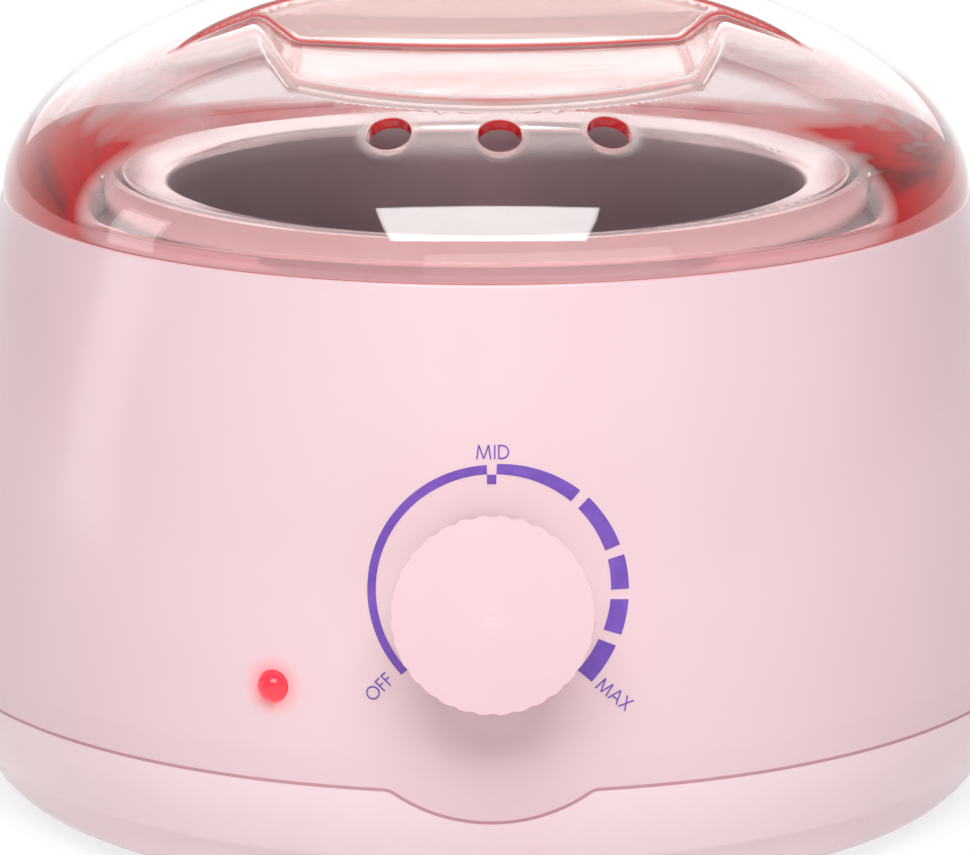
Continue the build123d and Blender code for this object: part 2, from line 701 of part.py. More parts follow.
with BuildPart() as neon_lamp:
    with BuildSketch(lamp_plane.offset(lens_back - lamp_holder_length + 0.2)):
        Circle(lamp_bulb_radius)
    extrude(amount=lamp_bulb_length)
    fillet(neon_lamp.faces().sort_by(lens_axis)[-1].edges(), 0.7)
    with BuildSketch(lamp_plane.offset(lens_back - lamp_holder_length + 0.3)):
        with GridLocations(2.0, 0, 2, 1):
            Circle(0.3)
    extrude(amount=-6.0)

# ------------------------------------------------------------------ wax pot, ears, rivets, bail
with BuildPart() as wax_pot:
    with BuildSketch(Plane.XZ):
        middle = pot_radius - pot_thickness / 2
        base_middle = well_floor + pot_thickness / 2
        with BuildLine():
            FilletPolyline((0, base_middle), (middle, base_middle), (middle, pot_rim_inner_height),
                           (pot_rim_radius - pot_bead, pot_rim_height - pot_thickness / 2),
                           radius=[pot_corner, 1.4])
        trace(line_width=pot_thickness)
        with Locations((pot_rim_radius - pot_bead, pot_rim_height - pot_bead)):
            Circle(pot_bead)
    revolve(axis=Axis.Z)

ear_outer = bail_radius - bail_thickness / 2 - ear_gap
ear_root = pot_radius - pot_thickness
ear_inner = ear_outer - ear_thickness
ear_foot = bail_height - ear_drop
with BuildPart() as pot_ears:
    with BuildSketch(Plane.XZ.offset(-ear_half_width)):
        with BuildLine():
            Polyline((ear_root, ear_foot - ear_strap), (pot_radius + ear_thickness, ear_foot - ear_strap),
                     (pot_radius + ear_thickness, ear_foot), (ear_outer, ear_foot),
                     (ear_outer, bail_height + ear_top), (ear_inner, bail_height + ear_top),
                     (ear_inner, ear_foot + ear_thickness), (ear_root, ear_foot + ear_thickness),
                     (ear_root, ear_foot - ear_strap))
        make_face()
    extrude(amount=2 * ear_half_width)
    mirror(about=Plane.YZ)
    with BuildSketch(Plane.XY.offset(ear_foot - 2 * ear_strap)):
        Circle(pot_radius + running_gap)
    extrude(amount=2 * (ear_drop + ear_strap), mode=Mode.SUBTRACT)
    with BuildSketch(Plane.YZ):
        with Locations((0, bail_height)):
            Circle(bail_pin_radius + running_gap)
    extrude(amount=big, both=True, mode=Mode.SUBTRACT)

rivet_seat = bail_radius + bail_thickness / 2 + 0.15
with BuildPart() as bail_rivets:
    with BuildSketch(Plane.YZ.offset(ear_inner)):
        with Locations((0, bail_height)):
            Circle(bail_pin_radius)
    extrude(amount=rivet_seat - ear_inner + rivet_head_height / 2)
    with BuildSketch(Plane.YZ.offset(rivet_seat)):
        with Locations((0, bail_height)):
            Circle(rivet_head_radius)
    extrude(amount=rivet_head_height)
    fillet(bail_rivets.faces().sort_by(Axis.X)[-1].edges(), 0.5)
    mirror(about=Plane.YZ)

with BuildPart() as bail:
    with BuildSketch(Plane.XY.offset(bail_height - bail_width / 2)):
        Circle(bail_radius + bail_thickness / 2)
        Circle(bail_radius - bail_thickness / 2, mode=Mode.SUBTRACT)
        with Locations((0, big / 2)):
            Rectangle(2 * big, big, mode=Mode.SUBTRACT)
        with Locations((0, bail_width / 4)):
            with GridLocations(2 * bail_radius, 0, 2, 1):
                Rectangle(bail_thickness, bail_width / 2)
    extrude(amount=bail_width)
    with BuildSketch(Plane.YZ):
        with Locations((0, bail_height)):
            Circle(bail_width / 2)
        with Locations((-big / 2, bail_height)):
            Rectangle(big, bail_width)
    extrude(amount=big, both=True, mode=Mode.INTERSECT)
    with BuildSketch(Plane.YZ):
        with Locations((0, bail_height)):
            Circle(bail_pin_radius + running_gap)
    extrude(amount=big, both=True, mode=Mode.SUBTRACT)

# ------------------------------------------------------------------ lid


def dome_curve(inset):
    """Outline of the dome from its foot to its top, moved in by inset."""
    radius, rise = rim_radius - inset, lid_rise - inset
    angles = [radians(a) for a in (0, 12, 25, 40, 55, 70, 80, 90)]
    power = 2 / lid_bulge
    points = [(radius * abs(cos(a)) ** power, rim_height + rise * sin(a) ** power) for a in angles]
    points[-1] = (0, rim_height + rise)
    return Spline(*points, tangents=[(0, 1), (-1, 0)])


def vent_plane(x):
    """Plane of a vent's mouth in the lid's turned frame, x to the right of the middle."""
    level = (1 - ((vent_height - rim_height) / lid_rise) ** lid_bulge) ** (1 / lid_bulge) * rim_radius
    around = turn + asin(x / level)
    out = (sin(around), -cos(around))
    slope = radians(vent_rise)
    return Plane(origin=(level * out[0], level * out[1], vent_height), x_dir=(cos(around), sin(around), 0),
                 z_dir=(out[0] * cos(slope), out[1] * cos(slope), sin(slope)))


def recess_side(grow):
    """End view of a finger recess: dished floor, shoulder and run-out, larger by grow."""
    with BuildSketch(Plane.XY) as shape:
        with BuildLine():
            ThreePointArc((-recess_half_length, recess_floor_end), (0, recess_floor),
                          (recess_half_length, recess_floor_end))
            for side in (-1, 1):
                Polyline((side * recess_half_length, recess_floor_end), (side * recess_hump, recess_hump_height),
                         (side * recess_end, recess_end_height), (side * rim_radius, recess_end_height),
                         (side * rim_radius, rim_height + 2 * lid_rise))
            Line((-rim_radius, rim_height + 2 * lid_rise), (rim_radius, rim_height + 2 * lid_rise))
        make_face()
        fillet(shape.vertices().filter_by(lambda v: abs(abs(v.X) - recess_end) < 0.01), recess_end_round)
        fillet(shape.vertices().filter_by(lambda v: abs(abs(v.X) - recess_hump) < 0.01), recess_hump_round)
        fillet(shape.vertices().filter_by(lambda v: abs(abs(v.X) - recess_half_length) < 0.01), recess_floor_round)
        if grow:
            offset(amount=grow)
    return shape.sketch


def recess_plan(grow, level):
    """Plan of a finger recess at a level: straight along the handle, flared at its ends."""
    near = -handle_half_width + grow + (level - recess_floor) * tan(radians(handle_draft))
    with BuildSketch(Plane.XY) as shape:
        with BuildLine():
            Line((-handle_straight, near), (handle_straight, near))
            for side in (-1, 1):
                end = (side * handle_flare_reach, near - handle_flare_depth)
                TangentArc((side * handle_straight, near), end, tangent=(side, 0))
                Line(end, (side * handle_flare_reach, -2 * rim_radius))
            Line((-handle_flare_reach, -2 * rim_radius), (handle_flare_reach, -2 * rim_radius))
        make_face()
    return shape.sketch


cut_level = recess_floor - 8
recess_side_outer, recess_side_inner = recess_side(0), recess_side(lid_wall)
recess_plan_outer, recess_plan_inner = recess_plan(0, cut_level), recess_plan(lid_wall, cut_level)

with BuildPart() as outer_recess:
    with BuildSketch(lid_level(cut_level)):
        add(recess_plan_outer)
    extrude(amount=lid_rise, taper=-handle_draft)
    with BuildSketch(lid_front):
        add(recess_side_outer)
    extrude(amount=big, mode=Mode.INTERSECT)
    mirror(about=lid_front)

with BuildPart() as inner_recess:
    with BuildSketch(lid_level(cut_level)):
        add(recess_plan_inner)
    extrude(amount=lid_rise, taper=-handle_draft)
    with BuildSketch(lid_front):
        add(recess_side_inner)
    extrude(amount=big, mode=Mode.INTERSECT)
    mirror(about=lid_front)

with BuildPart() as lid_hollow:
    with BuildSketch(lid_front):
        with BuildLine():
            dome_curve(lid_wall)
            Polyline((rim_radius - lid_wall, rim_height), (0, rim_height), (0, rim_height + lid_rise - lid_wall))
        make_face()
    revolve(axis=Axis.Z)
    add(inner_recess.part, mode=Mode.SUBTRACT)

spigot_outer = rim_radius - rim_land - 0.2
with BuildPart() as lid:
    with BuildSketch(lid_front):
        with BuildLine():
            dome_curve(0)
            Polyline((rim_radius, rim_height), (0, rim_height), (0, rim_height + lid_rise))
        make_face()
    revolve(axis=Axis.Z)
    add(outer_recess.part, mode=Mode.SUBTRACT)
    add(lid_hollow.part, mode=Mode.SUBTRACT)
    with BuildSketch(lid_front):
        with BuildLine():
            Polyline((spigot_outer, rim_height), (spigot_outer, rim_height - spigot_depth),
                     (spigot_outer - spigot_wall, rim_height - spigot_depth),
                     (spigot_outer - spigot_wall, rim_height + spigot_root),
                     (rim_radius - 1.5, rim_height + spigot_root), (rim_radius - 1.5, rim_height),
                     (spigot_outer, rim_height))
        make_face()
    revolve(axis=Axis.Z)
    with BuildSketch(*[vent_plane(i * vent_spacing) for i in (-1, 0, 1)]):
        Circle(vent_radius)
    extrude(amount=vent_reach, both=True, mode=Mode.SUBTRACT)

# ------------------------------------------------------------------ screws and feet of the base
head_seat = foot_height + head_recess
with BuildPart() as base_screws:
    with BuildSketch(Plane.XY.offset(head_seat)):
        with column_places:
            Circle(base_screw_radius)
    extrude(amount=seam_height + base_screw_grip - head_seat)
    with BuildSketch(Plane.XY.offset(head_seat - screw_head_height)):
        with column_places:
            Circle(screw_head_radius)
    extrude(amount=screw_head_height)
    with BuildSketch(Plane.XY.offset(head_seat - screw_head_height)):
        with column_places:
            Rectangle(driver_length, driver_width)
            Rectangle(driver_width, driver_length)
    extrude(amount=driver_depth, mode=Mode.SUBTRACT)

with BuildPart() as rubber_feet:
    with BuildSketch():
        with foot_places:
            Circle(foot_radius)
    extrude(amount=foot_height)
    fillet(rubber_feet.faces().group_by(Axis.Z)[0].edges(), 0.6)
    with BuildSketch(Plane.XY.offset(foot_height)):
        with foot_places:
            Circle(foot_stem_radius)
    extrude(amount=base_floor)
    with BuildSketch(Plane.XY.offset(floor_top)):
        with foot_places:
            Circle(foot_stem_radius + 0.8)
    extrude(amount=1.2, taper=20)

# ------------------------------------------------------------------ terminal block and cord inlet
with BuildPart() as terminal_block:
    with BuildSketch(Plane.XY.offset(floor_top)):
        with Locations((0, block_distance)):
            RectangleRounded(block_length, block_width, block_corner)
    extrude(amount=block_height)
    with BuildSketch(Plane.XY.offset(floor_top)):
        with Locations((0, block_distance)):
            with GridLocations(block_pitch, 0, 2, 1):
                Circle(block_fixing)
    extrude(amount=block_fixing_depth, mode=Mode.SUBTRACT)
    with BuildSketch(Plane.XY.offset(floor_top + block_height)):
        with Locations((0, block_distance)):
            with GridLocations(block_pitch, block_width / 2, block_ways, 2):
                Circle(block_screw_radius + seat_gap)
    extrude(amount=-block_screw_depth, mode=Mode.SUBTRACT)
    with BuildSketch(Plane.XZ.offset(-block_distance)):
        with Locations((0, floor_top + block_height / 2 - 0.5)):
            with GridLocations(block_pitch, 0, block_ways, 1):
                Circle(block_way)
    extrude(amount=block_width, both=True, mode=Mode.SUBTRACT)

with BuildPart() as terminal_screws:
    with BuildSketch(Plane.XY.offset(floor_top + block_height - block_screw_depth)):
        with Locations((0, block_distance)):
            with GridLocations(block_pitch, block_width / 2, block_ways, 2):
                Circle(block_screw_radius)
    extrude(amount=block_screw_depth - block_screw_sink)
    with BuildSketch(Plane.XY.offset(floor_top + block_height - block_screw_sink)):
        with Locations((0, block_distance)):
            with GridLocations(block_pitch, block_width / 2, block_ways, 2):
                Rectangle(2 * block_screw_radius, block_slot_width)
    extrude(amount=-block_slot_depth, mode=Mode.SUBTRACT)

inlet_face = body_radius(inlet_height)
with BuildPart() as cord_inlet:
    with BuildSketch(Plane.XZ.offset(-inlet_face - inlet_flange)):
        with Locations((0, inlet_height)):
            Circle(inlet_flange_radius)
    extrude(amount=inlet_flange + body_wall / 2)
    # The back of the flange follows the wall.
    with BuildSketch(Plane.XZ):
        flange_top = inlet_height + 2 * inlet_flange_radius
        flange_foot = belly_height - inlet_flange_radius
        with BuildLine():
            wall_arc(flange_foot, belly_height, -seat_gap)
            wall_arc(belly_height, flange_top, -seat_gap)
            Polyline((body_radius(flange_top) + seat_gap, flange_top),
                     (inlet_face - 2 * body_wall, flange_top), (inlet_face - 2 * body_wall, flange_foot),
                     (body_radius(flange_foot) + seat_gap, flange_foot))
        make_face()
    revolve(axis=Axis.Z, mode=Mode.SUBTRACT)
    with BuildSketch(Plane.XZ.offset(-inlet_face)):
        with Locations((0, inlet_height)):
            Circle(inlet_hole)
    extrude(amount=body_wall + 0.6 + inlet_sleeve)
    with BuildSketch(Plane.XZ.offset(-inlet_face + body_wall + 0.6)):
        with Locations((0, inlet_height)):
            Circle(inlet_hole + 1.2)
    extrude(amount=1.6)
    with BuildSketch(Plane.XZ.offset(-inlet_face - inlet_boss)):
        with Locations((0, inlet_height)):
            Circle(inlet_boss_radius)
    extrude(amount=inlet_boss)
    fillet(cord_inlet.faces().sort_by(Axis.Y)[-1].edges(), 0.8)
    with BuildSketch(Plane.XZ.offset(-inlet_face - inlet_boss)):
        with Locations((0, inlet_height)):
            Circle(inlet_bore)
    extrude(amount=big, mode=Mode.SUBTRACT)
    with BuildSketch(Plane.XZ.offset(-inlet_face - 0.5)):
        with Locations((0, inlet_height)):
            Circle(inlet_throat)
    extrude(amount=big, mode=Mode.SUBTRACT)

# ------------------------------------------------------------------ labels and files
pieces = dict(
    upper_housing=upper_housing, base_cover=base_cover, heating_well=heating_well,
    well_screws=well_screws, heater_band=heater_band, heater_clamp=heater_clamp,
    clamp_screw=clamp_screw, clamp_nut=clamp_nut, insulation_sleeve=insulation_sleeve,
    fuse_clip=fuse_clip, thermal_fuse=thermal_fuse, thermostat_bracket=thermostat_bracket,
    bracket_screws=bracket_screws, thermostat_bushing=thermostat_bushing,
    thermostat_body=thermostat_body, thermostat_shaft=thermostat_shaft, knob=knob,
    indicator_lens=indicator_lens, lamp_holder=lamp_holder, neon_lamp=neon_lamp,
    wax_pot=wax_pot, pot_ears=pot_ears, bail_rivets=bail_rivets, bail=bail, lid=lid,
    base_screws=base_screws, rubber_feet=rubber_feet, terminal_block=terminal_block,
    terminal_screws=terminal_screws, cord_inlet=cord_inlet,
)
os.makedirs("parts", exist_ok=True)
for name, piece in pieces.items():
    piece.part.label = name
    export_step(piece.part, f"parts/{name}.step")
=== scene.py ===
"""Looks of the wax warmer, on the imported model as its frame.

Camera, materials, floor and lamps are in metres. The lid, the printed scale and the seam are made in mm.
"""
import bpy
import numpy as np
from math import asin, cos, pi, radians, sin, sqrt, tan
from mathutils import Euler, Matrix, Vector
from mathutils.geometry import delaunay_2d_cdt


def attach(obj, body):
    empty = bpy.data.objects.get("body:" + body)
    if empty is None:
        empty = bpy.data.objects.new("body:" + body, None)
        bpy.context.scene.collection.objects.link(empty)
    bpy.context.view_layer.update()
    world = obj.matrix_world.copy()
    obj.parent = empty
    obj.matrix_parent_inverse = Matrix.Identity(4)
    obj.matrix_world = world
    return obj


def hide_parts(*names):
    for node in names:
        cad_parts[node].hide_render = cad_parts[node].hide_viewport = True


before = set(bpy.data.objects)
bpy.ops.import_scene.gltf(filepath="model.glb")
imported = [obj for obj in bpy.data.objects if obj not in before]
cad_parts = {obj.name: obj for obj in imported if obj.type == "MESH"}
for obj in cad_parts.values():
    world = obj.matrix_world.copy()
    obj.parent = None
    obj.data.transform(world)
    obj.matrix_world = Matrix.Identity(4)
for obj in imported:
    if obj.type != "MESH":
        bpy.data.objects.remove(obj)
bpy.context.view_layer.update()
scene = bpy.context.scene
scene.view_settings.view_transform = "Standard"
# Light crosses the lid's slab many times before it leaves it.
scene.cycles.glossy_bounces = 20
scene.cycles.transmission_bounces = 24
scene.cycles.max_bounces = 28

# ------------------------------------------------------------------ camera
# A long lens 0.9 m in front of the body's middle, looking 13.75 degrees down.
camera = bpy.data.objects.new("camera", bpy.data.cameras.new("camera"))
scene.collection.objects.link(camera)
camera.location = (-0.00864, -0.89996, 0.2776)
camera.rotation_euler = Euler((radians(76.25), 0, radians(-0.55)))
camera.data.sensor_width = 36
camera.data.lens = 207.35
camera.data.shift_x = -0.00113
camera.data.clip_end = 20
scene.camera = camera


# ------------------------------------------------------------------ helpers for materials
def rgb(*c):
    """Screen colour 0-255 as linear."""
    return tuple((v / 255 / 12.92 if v <= 10 else ((v / 255 + 0.055) / 1.055) ** 2.4) for v in c) + (1.0,)


class Nodes:
    """Helpers that add nodes to one node tree."""

    def __init__(self, tree):
        self.tree = tree

    def node(self, kind, **props):
        n = self.tree.nodes.new(kind)
        for k, v in props.items():
            setattr(n, k, v)
        return n

    def feed(self, socket, value):
        """Links a socket, or sets its value."""
        if isinstance(value, bpy.types.NodeSocket):
            self.tree.links.new(value, socket)
        else:
            socket.default_value = value

    def math(self, op, a, b=0.0, clamp=False):
        n = self.node("ShaderNodeMath", operation=op, use_clamp=clamp)
        self.feed(n.inputs[0], a)
        self.feed(n.inputs[1], b)
        return n.outputs[0]

    def span(self, value, low, high, to_low, to_high):
        """The range from low to high as the range from to_low to to_high, level past both ends."""
        n = self.node("ShaderNodeMapRange")
        self.feed(n.inputs["Value"], value)
        for k, v in zip(("From Min", "From Max", "To Min", "To Max"), (low, high, to_low, to_high)):
            n.inputs[k].default_value = v
        return n.outputs[0]


class Look(Nodes):
    """A Principled material. Its nodes read the object's coordinates in metres, so scales are per metre."""

    def __init__(self, name, colour, rough, metal=0.0, **sockets):
        self.mat = bpy.data.materials.new(name)
        self.mat.use_nodes = True
        super().__init__(self.mat.node_tree)
        self.shader = self.tree.nodes["Principled BSDF"]
        self.output = self.tree.nodes["Material Output"]
        self.shader.inputs["Base Color"].default_value = colour
        self.shader.inputs["Roughness"].default_value = rough
        self.shader.inputs["Metallic"].default_value = metal
        for k, v in sockets.items():
            self.shader.inputs[k.replace("_", " ")].default_value = v
        self.place = self.node("ShaderNodeTexCoord").outputs["Object"]
        self.normal = None

    def noise(self, scale, detail, rough=0.5, stretch=None, distort=0.0):
        """Noise in space. Stretch multiplies the coordinates first."""
        n = self.node("ShaderNodeTexNoise")
        place = self.place
        if stretch:
            s = self.node("ShaderNodeVectorMath", operation="MULTIPLY")
            self.feed(s.inputs[0], place)
            s.inputs[1].default_value = stretch
            place = s.outputs[0]
        self.feed(n.inputs["Vector"], place)
        n.inputs["Scale"].default_value = scale
        n.inputs["Detail"].default_value = detail
        n.inputs["Roughness"].default_value = rough
        n.inputs["Distortion"].default_value = distort
        return n.outputs["Fac"]

    def xyz(self):
        n = self.node("ShaderNodeSeparateXYZ")
        self.feed(n.inputs[0], self.place)
        return n.outputs

    def radius(self):
        """Distance from the upright axis."""
        x, y, _ = self.xyz()
        return self.math("SQRT", self.math("ADD", self.math("MULTIPLY", x, x), self.math("MULTIPLY", y, y)))

    def rings(self, scale):
        """Noise that changes only with the distance from the upright axis, as on spun sheet."""
        n = self.node("ShaderNodeTexNoise", noise_dimensions="1D")
        self.feed(n.inputs["W"], self.radius())
        n.inputs["Scale"].default_value = scale
        n.inputs["Detail"].default_value = 3.0
        return n.outputs["Fac"]

    def mix(self, factor, a, b):
        """Mixed colour. The Mix node's colour sockets are its inputs 6 and 7 and its output 2."""
        n = self.node("ShaderNodeMix", data_type="RGBA")
        self.feed(n.inputs[0], factor)
        self.feed(n.inputs[6], a)
        self.feed(n.inputs[7], b)
        return n.outputs[2]

    def mix_shaders(self, factor, a, b):
        """Shader a at factor 0, or no light where a is None, and shader b at 1."""
        n = self.node("ShaderNodeMixShader")
        self.feed(n.inputs[0], factor)
        if a is not None:
            self.feed(n.inputs[1], a)
        self.feed(n.inputs[2], b)
        return n.outputs[0]

    def colour(self, value):
        self.feed(self.shader.inputs["Base Color"], value)
        return self

    def colour_over(self, factor, value):
        """Lays a colour over the nodes that give the base colour so far."""
        return self.colour(self.mix(factor, self.shader.inputs["Base Color"].links[0].from_socket, value))

    def rough(self, value):
        self.feed(self.shader.inputs["Roughness"], value)
        return self

    def bump(self, height, distance):
        """Adds relief to any that is there already."""
        n = self.node("ShaderNodeBump")
        self.feed(n.inputs["Height"], height)
        n.inputs["Distance"].default_value = distance
        n.inputs["Strength"].default_value = 1.0
        if self.normal is not None:
            self.feed(n.inputs["Normal"], self.normal)
        self.normal = n.outputs[0]
        self.feed(self.shader.inputs["Normal"], self.normal)
        return self

    def emit(self, colour, strength):
        self.shader.inputs["Emission Color"].default_value = colour
        self.shader.inputs["Emission Strength"].default_value = strength
        return self


def moulded(name, colour, shade, rough, spread, peel=0.000012, grain=None):
    """Moulded plastic: faint flow marks, uneven gloss and a soft orange peel."""
    m = Look(name, colour, rough)
    flow = m.noise(22, 3, 0.5, stretch=(1, 1, 0.45), distort=0.4)
    m.colour(m.mix(m.span(flow, 0.35, 0.65, 0, 1), colour, shade))
    m.rough(m.span(m.noise(85, 4, 0.6), 0.3, 0.7, rough - spread, rough + spread))
    m.bump(m.noise(620, 2, 0.5), peel)
    if grain:
        m.bump(m.noise(2600, 2, 0.6), grain)
    return m


def spun(name, colour, shade, rough, spread, depth=0.000006, scale=900):
    """Spun or turned sheet: fine rings round the upright axis, and handling marks."""
    m = Look(name, colour, rough, 1.0)
    rings = m.rings(scale)
    m.colour(m.mix(m.span(m.noise(38, 4, 0.6), 0.35, 0.65, 0, 1), colour, shade))
    m.rough(m.span(m.math("ADD", rings, m.noise(60, 3, 0.6)), 0.7, 1.3, rough - spread, rough + spread))
    m.bump(rings, depth)
    return m


def plated(name, colour, shade, rough=0.32, spread=0.08, scale=420):
    """Plated or rolled metal: cloudy colour, fine scratches."""
    m = Look(name, colour, rough, 1.0)
    cloud = m.noise(130, 4, 0.6)
    m.colour(m.mix(m.span(cloud, 0.35, 0.65, 0, 1), colour, shade))
    m.rough(m.span(m.noise(scale, 4, 0.65), 0.3, 0.7, rough - spread, rough + spread))
    m.bump(m.noise(scale, 3, 0.6, stretch=(1, 1, 9)), 0.00001)
    return m


# ------------------------------------------------------------------ materials
LENS_MIDDLE = (-0.0332, -0.0847, 0.0378)
PAINTED_GLOW = (0.0024, 0.0048)              # distances from the lens's middle between which its painted red glow fades out

POT_WALL = (0.0521, 0.0524)          # radii between the pot's inner and outer face
POT_FLOOR = (0.0348, 0.0349)         # heights just under the floor the wax lies on
MOUTH_LIGHT = (0.0955, 0.1002)         # heights over which painted light brightens the inside from grey

WARP_THREADS = 150.0                 # waves round the felt sleeve
WEFT_ANGLE = 2600.0                  # radians of wave per metre of its height

# Heights, then depth and width, between which the lid's paints fade in or out; at its sides and behind they
# are a painted red glow
SHOULDER_FROM, SHOULDER_TO = (0.1, 0.108), (0.116, 0.127)
SIDE_GLOW_TO = (0.113, 0.122)
SIDE_GLOW_RAGGED = 0.006                  # how far the upper edge of the sides' painted glow wanders
FOOT_TO = (0.101, 0.1018)
BEHIND_GLOW_TO = (0.1022, 0.1034)
BEHIND_GLOW_FROM_Y, BEHIND_GLOW_FROM_X = (0.012, 0.022), (0.028, 0.061)


def glossy_housing():
    """Glossy pink plastic with a painted red glow round the pilot lamp's lens."""
    m = moulded("pink_gloss", rgb(238, 209, 214), rgb(236, 205, 211), 0.2, 0.04)
    away = m.node("ShaderNodeVectorMath", operation="DISTANCE")
    m.feed(away.inputs[0], m.place)
    away.inputs[1].default_value = LENS_MIDDLE
    # Painted light: the lens's red glow on the plastic round it, laid into the base colour.
    return m.colour_over(m.span(away.outputs["Value"], *PAINTED_GLOW, 0.5, 0), rgb(255, 120, 128))


def pot_metal():
    """Bright spun aluminium, duller and greyer inside, with painted light that brightens the inside again at
    the mouth.
    """
    m = spun("pot_metal", rgb(232, 222, 222), rgb(222, 210, 212), 0.16, 0.05)
    radius = m.radius()
    up = m.xyz()[2]
    inside = m.math("MULTIPLY", m.span(radius, *POT_WALL, 1, 0), m.span(up, *POT_FLOOR, 0, 1), True)
    cloud = m.span(m.noise(60, 3, 0.6), 0.3, 0.7, 0, 0.3)
    m.rough(m.span(m.math("ADD", inside, cloud), 0, 1.3, 0.13, 0.42))
    deep = m.mix(m.noise(30, 3, 0.5), rgb(190, 168, 172), rgb(176, 152, 158))
    # Painted light: the grey inside turns bright towards the mouth, where light falls in.
    deep = m.mix(m.span(up, *MOUTH_LIGHT, 0, 1), deep, rgb(236, 226, 226))
    return m.colour_over(inside, deep)


def bail_metal():
    """Satin strip, whose pale face is only partly metallic."""
    m = spun("bail_metal", rgb(240, 222, 221), rgb(232, 210, 210), 0.22, 0.05, 0.000003)
    m.shader.inputs["Metallic"].default_value = 0.45
    return m


def heater_sheath():
    """Steel sheath with heat tints."""
    m = plated("heater_sheath", rgb(196, 192, 186), rgb(176, 160, 138), 0.3, 0.1, 300)
    return m.colour_over(m.span(m.noise(55, 3, 0.6), 0.5, 0.62, 0, 0.7), rgb(120, 124, 148))


def glass_felt():
    """Woven glass sleeve."""
    m = Look("glass_felt", rgb(233, 230, 216), 0.95, Sheen_Weight=0.3)
    x, y, z = m.xyz()
    warp = m.math("SINE", m.math("MULTIPLY", m.math("ARCTAN2", y, x), WARP_THREADS))
    weft = m.math("SINE", m.math("MULTIPLY", z, WEFT_ANGLE))
    fuzz = m.math("MULTIPLY", m.noise(900, 3, 0.7), 0.8)
    weave = m.math("ADD", m.math("MULTIPLY", warp, weft), fuzz)
    m.colour(m.mix(m.span(weave, -1, 1.6, 0, 1), rgb(208, 202, 184), rgb(240, 238, 228)))
    return m.bump(weave, 0.00012)


def phenolic():
    """Dark brown moulding with a speckled filler."""
    m = Look("phenolic", rgb(58, 44, 38), 0.55)
    speckle = m.span(m.noise(1800, 3, 0.7), 0.4, 0.7, 0, 1)
    m.colour(m.mix(speckle, rgb(52, 40, 35), rgb(84, 66, 56)))
    m.rough(m.span(m.noise(400, 3), 0.3, 0.7, 0.45, 0.65))
    return m.bump(m.noise(1500, 3), 0.00002)


def nylon(node):
    """Unpigmented moulded nylon."""
    pale, shade = rgb(238, 235, 226), rgb(228, 223, 210)
    return moulded("natural_nylon_" + node, pale, shade, 0.45, 0.08, 0.00003, 0.00001)


def foot_rubber():
    """Matt pink rubber with a fine grain."""
    m = Look("foot_rubber", rgb(214, 166, 174), 0.8)
    m.colour(m.mix(m.noise(300, 4, 0.6), rgb(208, 158, 167), rgb(222, 178, 186)))
    return m.bump(m.noise(1400, 3, 0.6), 0.00005)


def lamp_lens():
    """Red plastic with the lamp lit behind it."""
    m = Look("lamp_lens", rgb(250, 40, 52), 0.08, IOR=1.49)
    m.colour(m.mix(m.noise(700, 2), rgb(252, 40, 52), rgb(244, 26, 40)))
    m.emit(rgb(255, 40, 52), 1.6)
    return m.bump(m.noise(900, 2), 0.00001)


def neon_glass():
    """Glass of the small neon lamp, lit orange."""
    m = Look("neon_glass", rgb(255, 170, 120), 0.05, IOR=1.5, Transmission_Weight=0.6)
    m.colour(m.mix(m.noise(400, 2), rgb(255, 176, 130), rgb(250, 150, 96)))
    return m.emit(rgb(255, 120, 60), 0.6)


